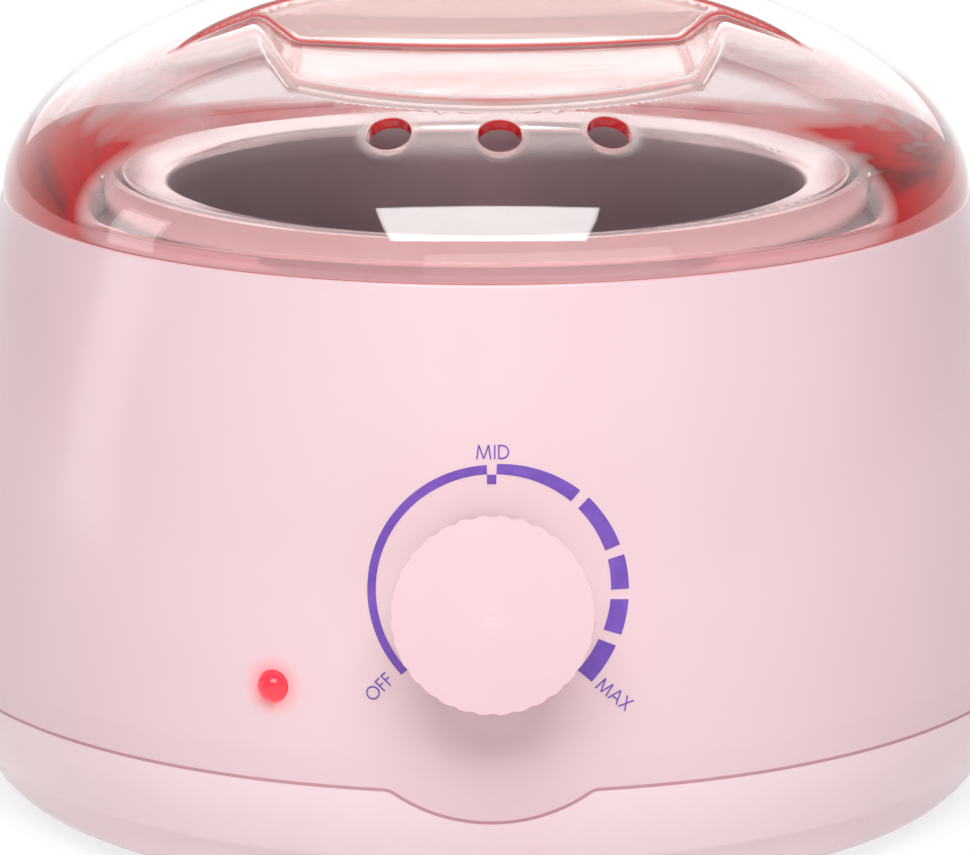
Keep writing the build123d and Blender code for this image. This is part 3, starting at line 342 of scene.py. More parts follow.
def clear_lid():
    """Clear plastic, tinted in its depth and painted redder at its foot, with a painted red glow at its
    sides, at the back of its foot and along its sharp edges, and painted pale highlights and reflections on
    parts of its skin.
    """
    m = Look("lid_clear", (1, 1, 1, 1), 0.02, IOR=1.49, Coat_Weight=0.5, Coat_Roughness=0.02)
    m.rough(m.span(m.noise(70, 4, 0.6), 0.35, 0.7, 0.0, 0.05))
    m.bump(m.noise(45, 1, 0.5), 0.00002)
    x, y, z = m.xyz()
    shoulder = m.math("MULTIPLY", m.span(z, *SHOULDER_FROM, 0, 1), m.span(z, *SHOULDER_TO, 1, 0))
    flow = m.noise(26, 3, 0.55, stretch=(1, 1, 2.6), distort=1.2)
    # Painted red glow, in streaks, of light carried along the wall where the wall is seen edge-on low down.
    glow_streaks = m.mix(m.span(flow, 0.36, 0.52, 0, 1), rgb(124, 16, 16), rgb(198, 18, 24))
    ragged = m.math("ADD", z, m.span(flow, 0.3, 0.7, SIDE_GLOW_RAGGED, -SIDE_GLOW_RAGGED))
    turned_away = m.span(m.node("ShaderNodeLayerWeight").outputs["Facing"], 0.38, 0.47, 0, 1)
    side = m.math("MULTIPLY", turned_away, m.span(ragged, *SIDE_GLOW_TO, 1, 0))
    foot = m.span(z, *FOOT_TO, 1, 0)
    # Painted red glow of light carried in the wall, at the back of the foot.
    behind = m.math("MULTIPLY", m.span(y, *BEHIND_GLOW_FROM_Y, 0, 1), m.span(z, *BEHIND_GLOW_TO, 1, 0))
    behind = m.math("MULTIPLY", behind, m.span(m.math("ABSOLUTE", x), *BEHIND_GLOW_FROM_X, 0.03, 0.95))
    edge = m.node("ShaderNodeAttribute", attribute_name="edge").outputs["Fac"]
    lip = m.node("ShaderNodeAttribute", attribute_name="lip").outputs["Fac"]
    # Each paint is a mask, its colour, and how much of the light that would pass it holds back.
    # lip is painted pale highlights and reflections, foot a pink band, and behind, side and edge a painted
    # red glow of light carried in the wall.
    paints = ((lip, rgb(238, 214, 210), 0.62), (foot, rgb(226, 178, 181), 0.5),
              (behind, rgb(208, 58, 58), 0.85), (side, glow_streaks, 1.0), (edge, rgb(208, 24, 28), 0.9))
    tint = m.mix(shoulder, (0.955, 0.94, 0.935, 1), (0.93, 0.905, 0.9, 1))
    clear = 1.0
    for mask, colour, body in paints:
        tint = m.mix(mask, tint, colour)
        clear = m.math("MULTIPLY", clear, m.math("SUBTRACT", 1.0, m.math("MULTIPLY", mask, body)))
    m.colour(tint)
    m.feed(m.shader.inputs["Transmission Weight"], clear)
    # Lamps shine through it without caustics.
    see = m.node("ShaderNodeBsdfTransparent")
    see.inputs[0].default_value = (0.97, 0.93, 0.93, 1)
    shadow = m.node("ShaderNodeLightPath").outputs["Is Shadow Ray"]
    m.feed(m.output.inputs["Surface"], m.mix_shaders(shadow, m.shader.outputs[0], see.outputs[0]))
    depth = m.node("ShaderNodeVolumeAbsorption")
    depth.inputs["Color"].default_value = (0.985, 0.25, 0.28, 1)
    depth.inputs["Density"].default_value = 20
    m.feed(m.output.inputs["Volume"], depth.outputs[0])
    return m


def scale_ink():
    """Purple ink, uneven in colour and gloss."""
    m = Look("scale_ink", rgb(112, 74, 178), 0.4)
    m.colour(m.mix(m.span(m.noise(260, 3, 0.6), 0.35, 0.65, 0, 1), rgb(108, 70, 176), rgb(126, 84, 190)))
    m.rough(m.span(m.noise(900, 3), 0.3, 0.7, 0.32, 0.5))
    return m.bump(m.noise(2400, 3, 0.6), 0.000004)


zinc = plated("zinc_steel", rgb(205, 206, 210), rgb(190, 193, 198))
looks = {
    "upper_housing": glossy_housing(),
    # The base is the housing's pink painted lighter, as painted light for the lower wall, which gets less
    # lamp light.
    "base_cover": moulded("pink_base_painted_lighter", rgb(251, 226, 230), rgb(249, 222, 227), 0.22, 0.04),
    "knob": moulded("pink_satin", rgb(244, 208, 214), rgb(242, 204, 211), 0.4, 0.05, 0.000016, 0.000003),
    "cord_inlet": moulded("pink_bush", rgb(232, 190, 198), rgb(228, 184, 193), 0.5, 0.08, 0.00002, 0.000008),
    "wax_pot": pot_metal(),
    "bail": bail_metal(),
    "pot_ears": plated("ear_metal", rgb(224, 214, 214), rgb(212, 202, 203), 0.25),
    "bail_rivets": plated("rivet_metal", rgb(214, 206, 206), rgb(200, 192, 194), 0.25),
    "heating_well": spun("well_metal", rgb(146, 128, 128), rgb(130, 112, 114), 0.34, 0.07, 0.00001, 700),
    "heater_band": heater_sheath(),
    "insulation_sleeve": glass_felt(),
    "thermal_fuse": plated("fuse_case", rgb(226, 222, 214), rgb(210, 204, 192), 0.3),
    "thermostat_bushing": plated("turned_brass", rgb(214, 178, 104), rgb(196, 156, 84), 0.24, 0.06),
    "thermostat_body": phenolic(),
    "lamp_holder": nylon("lamp_holder"),
    "terminal_block": nylon("terminal_block"),
    "rubber_feet": foot_rubber(),
    "indicator_lens": lamp_lens(),
    "neon_lamp": neon_glass(),
    "lid": clear_lid(),
}
for small in ("heater_clamp", "clamp_screw", "clamp_nut", "well_screws", "bracket_screws", "base_screws",
              "thermostat_bracket", "terminal_screws", "fuse_clip", "thermostat_shaft"):
    looks[small] = zinc
for name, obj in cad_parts.items():
    obj.data.materials.clear()
    obj.data.materials.append(looks[name].mat)

# ------------------------------------------------------------------ lid: the form
# A dome whose outline is a superellipse, with two finger recesses that leave a hollow handle between them
RIM, FOOT, RISE, WALL, BULGE = 79.0, 98.7, 36.6, 2.4, 1.95
TURN = radians(1.3)                  # the loose lid stands slightly turned
# The two sides of the wall: how far in, and the roundings of a recess's edge and of its floor's corner
OUTER = dict(inset=0.0, edge=0.9, floor=1.2)
INNER = dict(inset=WALL, edge=0.6, floor=2.6)

# A recess's floor, seen from the front: a shallow dish, 1 mm deep, with a shoulder at each end
FLOOR_Z, DISH_HALF = 123.4, 31
FLOOR_CORNERS = ((DISH_HALF, 0.7391, 0.9), (36.6, -1.1021, 1.7), (50, 0.2985, 2.0))   # at, turn, rounding

# The handle's side, which leans: straight in its middle and flaring at both ends, as at the height SIDE_Z
SIDE_Z, SIDE_Y, STRAIGHT_HALF, FLARE_R = 115.4, 15.25, 30, 27.07
FLARE_X, FLARE_Y = STRAIGHT_HALF + FLARE_R, SIDE_Y + FLARE_R     # where the flare has turned by a quarter
DRAFT, DRAFT_COS = tan(radians(13)), 0.9744

VENT_XS, VENT_Z, VENT_R, VENT_RISE = (-16.8, 0.0, 16.8), 119.0, 3.35, radians(57)
VENT_SIDES, OUTER_LIP, INNER_LIP = 56, 0.33, 0.25
VENT_GAP = 0.22                      # from a vent's lip to the nearest point of the skin
BORE = (-7.0, 4.0)                   # the stretch of a vent's axis that holds the wall
FAR = 99                             # added at the back, where a vent's axis would leave the dome again
HALVINGS, VENT_HALVINGS = 26, 30     # down to less than a thousandth of a millimetre


def round_max(a, b, r):
    """The larger of two distances, with the corner between their surfaces rounded by r."""
    return np.minimum(-r, np.maximum(a, b)) + np.hypot(np.maximum(a + r, 0), np.maximum(b + r, 0))


def bend(u, w):
    """0 before a corner, u after it, rounded over w each side."""
    return np.where(u < -w, 0, np.where(u > w, u, (u + w) ** 2 / (4 * w)))


def floor_line(x):
    """Height of a recess's floor."""
    a = np.abs(x)
    z = FLOOR_Z + np.minimum(a, DISH_HALF) ** 2 / DISH_HALF ** 2
    z = z + 2 / DISH_HALF * np.maximum(a - DISH_HALF, 0)
    for corner, turn, w in FLOOR_CORNERS:
        z = z + turn * bend(a - corner, w)
    return z


def parts(x, y, z, inset):
    """Signed distances, in mm near the surface, to the dome, a recess's side and a recess's floor."""
    a, b = RIM - inset, RISE - inset
    r, h = np.hypot(x, y) / a, np.maximum(z - FOOT, 0) / b
    s = np.maximum((r ** BULGE + h ** BULGE) ** (1 / BULGE), 1e-6)
    dome = (s - 1) / (s ** (1 - BULGE) * np.hypot(r ** (BULGE - 1) / a, h ** (BULGE - 1) / b) + 1e-9)
    yy, ax = -np.abs(y), np.abs(x)
    flare = np.where(yy < -FLARE_Y, ax - FLARE_X, np.hypot(ax - STRAIGHT_HALF, yy + FLARE_Y) - FLARE_R)
    wall = (np.where(ax < STRAIGHT_HALF, yy + SIDE_Y, flare) - (z - SIDE_Z) * DRAFT) * DRAFT_COS - inset
    slope = (floor_line(ax + 0.05) - floor_line(ax - 0.05)) / 0.1
    level = (floor_line(ax) - z) / np.hypot(1, slope) - inset
    return dome, wall, level


def field(x, y, z, inset, edge, floor):
    """Below 0 inside the dome and outside the recesses."""
    dome, wall, level = parts(x, y, z, inset)
    return round_max(dome, -round_max(wall, level, floor), edge)


def height(x, y, form):
    """Height of the surface over points of the plan, found by halving."""
    low, high = np.full(x.shape, FOOT - 4.0), np.full(x.shape, FOOT + RISE + 2)
    for _ in range(HALVINGS):
        mid = (low + high) / 2
        below = field(x, y, mid, **form) < 0
        low, high = np.where(below, mid, low), np.where(below, high, mid)
    return (low + high) / 2


def slope_of(x, y, z, form, e=0.02):
    """Unit normals, from the field's change over e each way."""
    g = np.stack([field(x + e, y, z, **form) - field(x - e, y, z, **form),
                  field(x, y + e, z, **form) - field(x, y - e, z, **form),
                  field(x, y, z + e, **form) - field(x, y, z - e, **form)], -1)
    return g / np.maximum(np.linalg.norm(g, axis=-1, keepdims=True), 1e-9)


def vent_axis(x):
    """Middle of a vent's mouth, and its sideways, upward and outward directions, square to the wall."""
    level = RIM * (1 - ((VENT_Z - FOOT) / RISE) ** BULGE) ** (1 / BULGE)
    turn = asin(x / level)
    side = np.array([cos(turn), sin(turn), 0])
    out = np.array([sin(turn) * cos(VENT_RISE), -cos(turn) * cos(VENT_RISE), sin(VENT_RISE)])
    return np.array([x, -sqrt(level ** 2 - x ** 2), VENT_Z]), side, np.cross(out, side), out


VENTS = [vent_axis(x) for x in VENT_XS]


def from_axis(x, y, z, vent):
    """Distance from a vent's axis, large at the back."""
    d = np.stack([x, y, z], -1) - vent[0]
    d = d - (d @ vent[3])[..., None] * vent[3]
    return np.linalg.norm(d, axis=-1) + np.where(y > 0, FAR, 0)


# ------------------------------------------------------------------ lid: the painted glow on its lines, and painted highlights
LINE_REACH = 0.75                    # a painted line ends this far from either of its two faces
CORNER_WIDTH, ARCH_WIDTH, FRONT_WIDTH = 0.55, 0.5, 0.34
HIGHLIGHT_RING, HIGHLIGHT_WIDTH = 0.6, 1.0     # the painted highlight ring round a vent: from its wall, and its softness
HIGHLIGHT_DROP, HIGHLIGHT_HALF = 0.8, 17       # the painted highlight band between the vents: below their middles, and its half length


def ridge(a, b, width):
    """1 along the rounded corner where a and b are both near 0, falling off to both sides."""
    return np.exp(-((a - b) / width) ** 2) * (np.abs(a) < LINE_REACH) * (np.abs(b) < LINE_REACH)


def marks(x, y, z):
    """How strongly a point of the outside gets a sharp line's painted red glow, and a painted pale highlight,
    0 to 1.
    """
    dome, wall, level = parts(x, y, z, 0.0)
    corner = ridge(wall, level, CORNER_WIDTH)
    arch = ridge(dome, -wall, ARCH_WIDTH) * (level < 0.3)
    front = ridge(dome, -level, FRONT_WIDTH) * (wall < 0.3)
    line = np.maximum(np.maximum(corner, arch), 0.8 * front)
    # painted pale highlight: a band under a recess's front edge, the handle's side, and rings round and a
    # band between the vents
    below = np.clip((level + 0.2) / 0.3, 0, 1) * np.clip((2.0 - level) / 0.9, 0, 1)
    below = below * (dome > -0.8) * (wall < 1.0)
    upright = np.clip((0.7 - np.abs(wall)) / 0.4, 0, 1) * (dome < -0.3) * (level < 0)
    painted_highlight = np.zeros(len(x))
    for vent in VENTS:
        ring = np.exp(-((from_axis(x, y, z, vent) - VENT_R - HIGHLIGHT_RING) / HIGHLIGHT_WIDTH) ** 2)
        painted_highlight = np.maximum(painted_highlight, 0.75 * ring)
    between = np.exp(-((z - VENT_Z + HIGHLIGHT_DROP) / 1.5) ** 2)
    between = between * (np.abs(x) < HIGHLIGHT_HALF) * (y < 0) * (dome > -0.5)
    painted_highlight = np.maximum(painted_highlight, 0.6 * between)
    return line, np.maximum(np.maximum(below, upright), painted_highlight)


# ------------------------------------------------------------------ lid: the mesh
START = radians(15.66)               # above this angle the dome is a height field, below it rings
FOOT_END = radians(1.2)              # where the outer rings end and the foot's rounding starts
SIDES = 288
CELL, CELLS = 9.0, 9                 # side of the first square cells, and how many reach the rim
LARGEST, AT_VENT, SMALLEST = 4, 0.6, 0.3         # halving ends at these sides: anywhere, at a vent, at a bend
FINE_OUTER, FINE_INNER = 0.02, 0.03  # how far a flat cell may leave the surface before it is halved
RING_GAP = 0.7                       # from the lowest ring to the nearest cell's corner
VENT_REACH = 1.6                     # cells are small within this distance of a vent's wall
LIP_STEPS = (0.25, 0.5, 0.75, 1)     # rows along the curve of a vent's lip
SPIGOT_R, SPIGOT_INNER_R, SPIGOT_Z = 76.1, 74.8, 97.2
LEDGE = 2.0                          # height of the ledge inside, over the foot


def spread_points(limit, form, fine):
    """Corners of square cells, small where the surface turns fast and round the vents."""
    size = CELL
    cells = np.array([(i * size, j * size) for i in range(-CELLS, CELLS) for j in range(-CELLS, CELLS)])
    found = []
    while len(cells):
        k = np.array([(i, j) for i in (0, 0.5, 1) for j in (0, 0.5, 1)]) * size
        p = cells[:, None] + k
        x, y = p[..., 0], p[..., 1]
        scale = np.minimum(1, limit / np.maximum(np.hypot(x, y), 1e-6))
        x, y = x * scale, y * scale
        z = height(x, y, form)
        n = slope_of(x, y, z, form)
        away = np.arccos(np.clip(np.abs((n * n[:, 4:5]).sum(-1)), 0, 1)).max(1) * size / 4
        split = (away > fine) & (size > SMALLEST)
        for v in VENTS:
            near = np.abs(from_axis(x, y, z, v) - VENT_R) < VENT_REACH
            split |= near.any(1) & (size > AT_VENT)
        split |= (size > LARGEST)
        found.append((cells[~split][:, None] + k[[0, 2, 6, 8]]).reshape(-1, 2))
        c, size = cells[split], size / 2
        cells = np.concatenate([c + (i * size, j * size) for i in (0, 1) for j in (0, 1)]) if len(c) else c
    p = np.unique(np.round(np.concatenate(found), 5), axis=0)
    return p[np.hypot(p[:, 0], p[:, 1]) < limit - RING_GAP]


def vent_loop(vent, radius, form):
    """Points where a tube round a vent's axis meets one side of the dome."""
    middle, side, up, out = vent
    t = (np.arange(VENT_SIDES) * 2 * pi / VENT_SIDES)[:, None]
    ring = middle + radius * (np.cos(t) * side + np.sin(t) * up)
    low, high = [np.full((VENT_SIDES, 1), end) for end in BORE]
    for _ in range(VENT_HALVINGS):
        mid = (low + high) / 2
        inside = field(*(ring + mid * out).T, **form)[:, None] < 0
        low, high = np.where(inside, mid, low), np.where(inside, high, mid)
    return ring + mid * out


def closed(start, count):
    """Pairs of neighbours in a closed row of point numbers."""
    return [(start + i, start + (i + 1) % count) for i in range(count)]


def skin(form, lip, fine):
    """One side of the dome: points, triangles, normals and the vents' loops as point numbers.

    The first points are its lowest ring.
    """
    a, b = RIM - form["inset"], RISE - form["inset"]
    t = np.arange(SIDES) * 2 * pi / SIDES
    limit = a * cos(START) ** (2 / BULGE)
    ring = np.stack([limit * np.cos(t), limit * np.sin(t)], -1)
    loops = [vent_loop(v, VENT_R + lip, form) for v in VENTS]
    p = spread_points(limit, form, fine)
    z = height(p[:, 0], p[:, 1], form)
    keep = np.ones(len(p), bool)
    for v in VENTS:
        keep &= from_axis(p[:, 0], p[:, 1], z, v) > VENT_R + lip + VENT_GAP
    flat = np.concatenate([ring] + [loop[:, :2] for loop in loops] + [p[keep]])
    starts = [SIDES + i * VENT_SIDES for i in range(len(loops))]
    edges = closed(0, SIDES)
    for start in starts:
        edges += closed(start, VENT_SIDES)
    out, _, tris, origin, _, _ = delaunay_2d_cdt([Vector(q) for q in flat], edges, [], 0, 1e-7)
    assert len(out) == len(flat)
    first = np.array([o[0] for o in origin])
    tris = first[np.array(tris)]
    x, y = flat[:, 0], flat[:, 1]
    z = height(x, y, form)
    for start, loop in zip(starts, loops):
        z[start:start + VENT_SIDES] = loop[:, 2]
    z[:SIDES] = FOOT + b * sin(START) ** (2 / BULGE)
    n = slope_of(x, y, z, form)
    middle = np.stack([x, y, z], -1)[tris].mean(1)
    hole = np.zeros(len(tris), bool)
    for v in VENTS:
        hole |= from_axis(*middle.T, v) < VENT_R + lip + 0.01
    turned = np.cross(flat[tris[:, 1]] - flat[tris[:, 0]], flat[tris[:, 2]] - flat[tris[:, 0]]) < 0
    tris[turned] = tris[turned][:, ::-1]
    vents = [list(range(start, start + VENT_SIDES)) for start in starts]
    return np.stack([x, y, z], -1), tris[~hole], n, vents


def rounded(points, radii, steps=5):
    """A line through points of (r, z) with its corners rounded."""
    out = []
    for i, (p, r) in enumerate(zip(points, radii)):
        p = np.array(p, float)
        if not r:
            out.append(p)
            continue
        u, v = np.array(points[i - 1]) - p, np.array(points[i + 1]) - p
        u, v = u / np.linalg.norm(u), v / np.linalg.norm(v)
        half = np.arccos(np.clip(u @ v, -1, 1)) / 2
        cut = r / tan(half)
        centre = p + (u + v) / np.linalg.norm(u + v) * r / sin(half)
        a, b = p + u * cut - centre, p + v * cut - centre
        w = np.arccos(np.clip(a @ b / r / r, -1, 1))
        out += [centre + (sin((1 - t) * w) * a + sin(t * w) * b) / sin(w) for t in np.linspace(0, 1, steps)]
    return out


class Shell:
    """Collects points in mm, faces, normals and painted marks, and makes them an object in metres."""

    def __init__(self):
        self.points, self.faces, self.normals = [], [], {}
        self.marks = {"edge": {}, "lip": {}}

    def add(self, pts, normals=None):
        """Adds points and gives their numbers."""
        start = len(self.points)
        self.points += [tuple(p) for p in pts]
        if normals is not None:
            self.normals.update({start + i: n for i, n in enumerate(normals)})
        return list(range(start, start + len(pts)))

    def strip(self, a, b):
        """Faces between two closed rows of point numbers."""
        for i in range(len(a)):
            j = (i + 1) % len(a)
            self.faces.append((a[i], a[j], b[j], b[i]))

    def object(self, name, look, turn=0.0, flat_shade=False):
        """The finished object, turned about the upright axis."""
        c, s = cos(turn), sin(turn)
        m = np.array([[c, s, 0], [-s, c, 0], [0, 0, 1]])
        mesh = bpy.data.meshes.new(name)
        mesh.from_pydata((np.array(self.points) @ m * 0.001).tolist(), [], self.faces)
        mesh.validate()
        if not flat_shade:
            mesh.shade_smooth()
        if self.normals:
            n = np.array([v.normal for v in mesh.vertices])
            for i, v in self.normals.items():
                n[i] = v @ m
            mesh.normals_split_custom_set_from_vertices(n.tolist())
        for kind, values in self.marks.items():
            if values:
                mark = mesh.attributes.new(kind, "FLOAT", "POINT")
                for i, v in values.items():
                    mark.data[i].value = v
        mesh.materials.append(look.mat)
        obj = bpy.data.objects.new(name, mesh)
        scene.collection.objects.link(obj)
        return obj


def foot_line():
    """The dome's foot, the spigot and the ledge as points (r, z), from the outer skin to the inner one."""
    power = 2 / BULGE
    ledge_z = FOOT + LEDGE
    low = np.arcsin((LEDGE / (RISE - WALL)) ** (BULGE / 2))
    outer = [(RIM * cos(a) ** power, FOOT + RISE * sin(a) ** power)
             for a in np.linspace(START, FOOT_END, 9)[1:]]
    inner = [((RIM - WALL) * cos(a) ** power, FOOT + (RISE - WALL) * sin(a) ** power)
             for a in np.linspace(low, START, 7)]
    corners = [outer[-1], (RIM, FOOT), (SPIGOT_R, FOOT), (SPIGOT_R, SPIGOT_Z), (SPIGOT_INNER_R, SPIGOT_Z),
               (SPIGOT_INNER_R, ledge_z), inner[0], inner[1]]
    radii = (0, 0.35, 0.2, 0.3, 0.3, 0.3, 0.25, 0)
    return outer + rounded(corners, radii)[1:-1] + inner[1:-1]


def add_vent(s, vent, outer_loop, inner_loop):
    """A rounded lip, the hole's wall and a rounded lip, between the vent's loops in both skins."""
    lips = []
    for form, lip, way in ((OUTER, OUTER_LIP, -1), (INNER, INNER_LIP, 1)):
        wide, tight = vent_loop(vent, VENT_R + lip, form), vent_loop(vent, VENT_R, form)
        deep = tight + way * lip * vent[3]
        lips.append([(1 - u) ** 2 * wide + 2 * u * (1 - u) * tight + u * u * deep for u in LIP_STEPS])
    a, b = lips[0][-1], lips[1][-1]
    # The upper half of the hole gets a painted red glow, all but its outermost row.
    upper = np.clip(np.sin(np.arange(VENT_SIDES) * 2 * pi / VENT_SIDES) * 2.5, 0, 1).tolist()
    last = outer_loop
    for pts in lips[0] + [(2 * a + b) / 3, (a + 2 * b) / 3] + lips[1][::-1]:
        row = s.add(pts)
        if pts is not lips[0][0]:
            s.marks["edge"].update(zip(row, upper))
        s.strip(last, row)
        last = row
    s.strip(last, inner_loop)


def make_lid():
    """Outer and inner skin, joined by the foot and by the vents."""
    s = Shell()
    rings, loops = [], []
    for form, lip, fine, way in ((OUTER, OUTER_LIP, FINE_OUTER, 1), (INNER, INNER_LIP, FINE_INNER, -1)):
        pts, tris, n, vents = skin(form, lip, fine)
        ids = s.add(pts, n * way)
        if way > 0:
            for kind, values in zip(("edge", "lip"), marks(*pts.T)):
                s.marks[kind].update(zip(ids, values.tolist()))
        s.faces += [tuple(ids[i] for i in (t if way > 0 else t[::-1])) for t in tris]
        rings.append(ids[:SIDES])
        loops.append([[ids[i] for i in v] for v in vents])
    t = np.arange(SIDES) * 2 * pi / SIDES
    last = rings[0]
    for r, z in foot_line():
        row = s.add(np.stack([r * np.cos(t), r * np.sin(t), np.full(SIDES, z)], -1))
        s.strip(row, last)
        last = row
    s.strip(rings[1], last)
    for vent, outer_loop, inner_loop in zip(VENTS, *loops):
        add_vent(s, vent, outer_loop, inner_loop)
    return s.object("lid_shell", looks["lid"], TURN)


lid = make_lid()
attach(lid, "cover")
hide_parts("lid")

# ------------------------------------------------------------------ printed scale
# The front wall is an arc over the belly and a tighter one under it, turned about the upright axis.
BELLY, BELLY_Z, FLANK_ARC, LOWER_ARC = 91.2, 28.0, 210.956, 37.06
PROUD, SUNK = 0.05, -0.03            # the ink's outer and inner face, from the wall
STROKE = 0.11                        # width of a stroke over the letters' height

# Arcs of the scale: degrees clockwise from the top, then inner radius and width at the start and the end
DIAL_Z = 53.45
SECTORS = ((-132.5, -2.2, (17.25, 17.92), (1.25, 1.36)), (2.3, 41.1, (17.93, 18.17), (1.5, 2.1)),
           (45.9, 70.3, (18.13, 18.18), (2.25, 2.4)), (74.8, 89.4, (18.14, 17.99), (2.56, 2.74)),
           (93.9, 109.0, (17.97, 17.83), (2.74, 2.86)), (114.0, 132.3, (17.65, 17.54), (2.88, 2.86)))
POINTER_HALF, POINTER_LOW, POINTER_HIGH = 0.7, 69.9, 71.3        # the square mark under MID
LETTER_HEIGHT = 2.12
WORDS = (("MID", 0.17, 0.15, 74.62, 0), ("OFF", 0.14, -17.07, 38.87, 46), ("MAX", 0.08, 18.58, 37.58, -41))


def on_wall(x, z, proud):
    """Point of the front wall, moved out by proud."""
    arc = np.where(z >= BELLY_Z, FLANK_ARC, LOWER_ARC)
    r = BELLY - arc + np.sqrt(arc ** 2 - (z - BELLY_Z) ** 2) + proud
    return np.stack([x, -np.sqrt(r ** 2 - x ** 2), z], -1)


def bar(x0, y0, x1, y1, w=STROKE):
    """A straight stroke. A slanting one has level ends."""
    if abs(y1 - y0) < 0.01:
        return [(x0, y0 - w / 2), (x1, y0 - w / 2), (x1, y0 + w / 2), (x0, y0 + w / 2)]
    h = w / 2 * np.hypot(x1 - x0, y1 - y0) / abs(y1 - y0)
    return [(x0 - h, y0), (x0 + h, y0), (x1 + h, y1), (x1 - h, y1)]


def bow(x, y, r, start, end, steps):
    """A stroke along a circle's arc in short pieces, angles in degrees."""
    t = np.radians(np.linspace(start, end, steps + 1))
    radii = (r + STROKE / 2, r - STROKE / 2)
    out, into = [np.stack([x + q * np.cos(t), y + q * np.sin(t)], -1) for q in radii]
    return [[tuple(out[i]), tuple(out[i + 1]), tuple(into[i + 1]), tuple(into[i])] for i in range(steps)]


# Width and strokes of each letter, over its height
LETTERS = {
    "M": (1.10, [bar(0.06, 0, 0.20, 1), bar(0.55, 0.02, 0.20, 1, 0.10), bar(0.55, 0.02, 0.90, 1, 0.10),
                 bar(1.04, 0, 0.90, 1)]),
    "I": (0.12, [bar(0.06, 0, 0.06, 1)]),
    "D": (0.80, [bar(0.06, 0, 0.06, 1), bar(0.06, 0.055, 0.30, 0.055), bar(0.06, 0.945, 0.30, 0.945)]
          + bow(0.30, 0.5, 0.445, -90, 90, 14)),
    "O": (1.00, bow(0.5, 0.5, 0.445, 0, 360, 28)),
    "F": (0.46, [bar(0.06, 0, 0.06, 1), bar(0.06, 0.945, 0.46, 0.945), bar(0.06, 0.52, 0.42, 0.52)]),
    "A": (0.92, [bar(0.06, 0, 0.46, 1), bar(0.86, 0, 0.46, 1), bar(0.20, 0.33, 0.72, 0.33)]),
    "X": (0.74, [bar(0.07, 0, 0.67, 1), bar(0.67, 0, 0.07, 1)]),
}


def word(text, gap, x, z, turn):
    """Polygons of a word round the point x, z, turned anticlockwise. The gap is over the height."""
    wide = sum(LETTERS[c][0] for c in text) + gap * (len(text) - 1)
    a, at, out = radians(turn), -wide / 2, []
    for c in text:
        for p in LETTERS[c][1]:
            q = (np.array(p) + (at, -0.5)) * LETTER_HEIGHT
            out.append(q @ np.array([[cos(a), sin(a)], [-sin(a), cos(a)]]) + (x, z))
        at += LETTERS[c][0] + gap
    return out


def sector(start, end, into, wide):
    """Short pieces of a ring round the dial's middle, one of the SECTORS."""
    steps = max(2, round(abs(end - start) / 2))
    t = np.radians(np.linspace(start, end, steps + 1))
    r, w = np.linspace(*into, steps + 1), np.linspace(*wide, steps + 1)
    rows = [np.stack([q * np.sin(t), DIAL_Z + q * np.cos(t)], -1) for q in (r, r + w / 2, r + w)]
    return [np.array([low[i], low[i + 1], high[i + 1], high[i]])
            for low, high in zip(rows, rows[1:]) for i in range(steps)]


def heat_scale():
    """Polygons of the whole scale, as x and z on the front wall."""
    out = [p for part in SECTORS for p in sector(*part)]
    out.append(np.array([(-POINTER_HALF, POINTER_LOW), (POINTER_HALF, POINTER_LOW),
                         (POINTER_HALF, POINTER_HIGH), (-POINTER_HALF, POINTER_HIGH)]))
    for row in WORDS:
        out += word(*row)
    return out


def print_on_wall(name, polygons, look):
    """A thin closed layer of the polygons' union, bent round the front wall."""
    points, faces = [], []
    for p in polygons:
        faces.append(list(range(len(points), len(points) + len(p))))
        points += [Vector(q) for q in p]
    flat, _, tris, _, _, origin = delaunay_2d_cdt(points, [], faces, 0, 1e-5)
    flat = np.array(flat)
    tris = [tuple(t) for t, o in zip(tris, origin) if o]
    tris = [t if np.cross(flat[t[1]] - flat[t[0]], flat[t[2]] - flat[t[0]]) > 0 else t[::-1] for t in tris]
    used = sorted({i for t in tris for i in t})
    number = {v: i for i, v in enumerate(used)}
    tris = [tuple(number[i] for i in t) for t in tris]
    s = Shell()
    front = s.add(on_wall(*flat[used].T, PROUD))
    back = s.add(on_wall(*flat[used].T, SUNK))
    edges = {(t[i], t[(i + 1) % 3]) for t in tris for i in range(3)}
    s.faces += [tuple(front[i] for i in t) for t in tris] + [tuple(back[i] for i in t[::-1]) for t in tris]
    s.faces += [(front[b], front[a], back[a], back[b]) for a, b in sorted(edges) if (b, a) not in edges]
    return s.object(name, look, flat_shade=True)


dial = print_on_wall("dial_scale", heat_scale(), scale_ink())
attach(dial, "base")

# ------------------------------------------------------------------ seam
SEAM_Z, SEAM_HALF = 22.65, 0.27      # middle of the gap between housing and base, and half its width
SEAM_R = 91.0                        # the wall's radius there
SEAM_OUT, SEAM_IN = -0.02, 0.6       # the band's faces, as depths from the wall's surface
# The dip under the knob is an arc, joined to the level seam by a small arc at each end.
DIP_Z, DIP_R, DIP_HALF = 43.30, 25.85, 14.838
CORNER_X, CORNER_Z, CORNER_R = 16.475, 19.8, 2.85
FINE_HALF, FINE_STEP, COARSE_ROWS = 18.0, 0.4, 150   # rows of the band, close together at the dip


def seam_line(x):
    """Middle of the gap at the front: its height and its downward direction."""
    a = abs(x)
    if a > CORNER_X:
        return SEAM_Z, (0.0, -1.0)
    if a > DIP_HALF:
        d = (a - CORNER_X, sqrt(CORNER_R ** 2 - (CORNER_X - a) ** 2))
        return CORNER_Z + d[1], (-d[0] / CORNER_R * np.sign(x), -d[1] / CORNER_R)
    z = DIP_Z - sqrt(DIP_R ** 2 - a * a)
    return z, (x / DIP_R, (z - DIP_Z) / DIP_R)


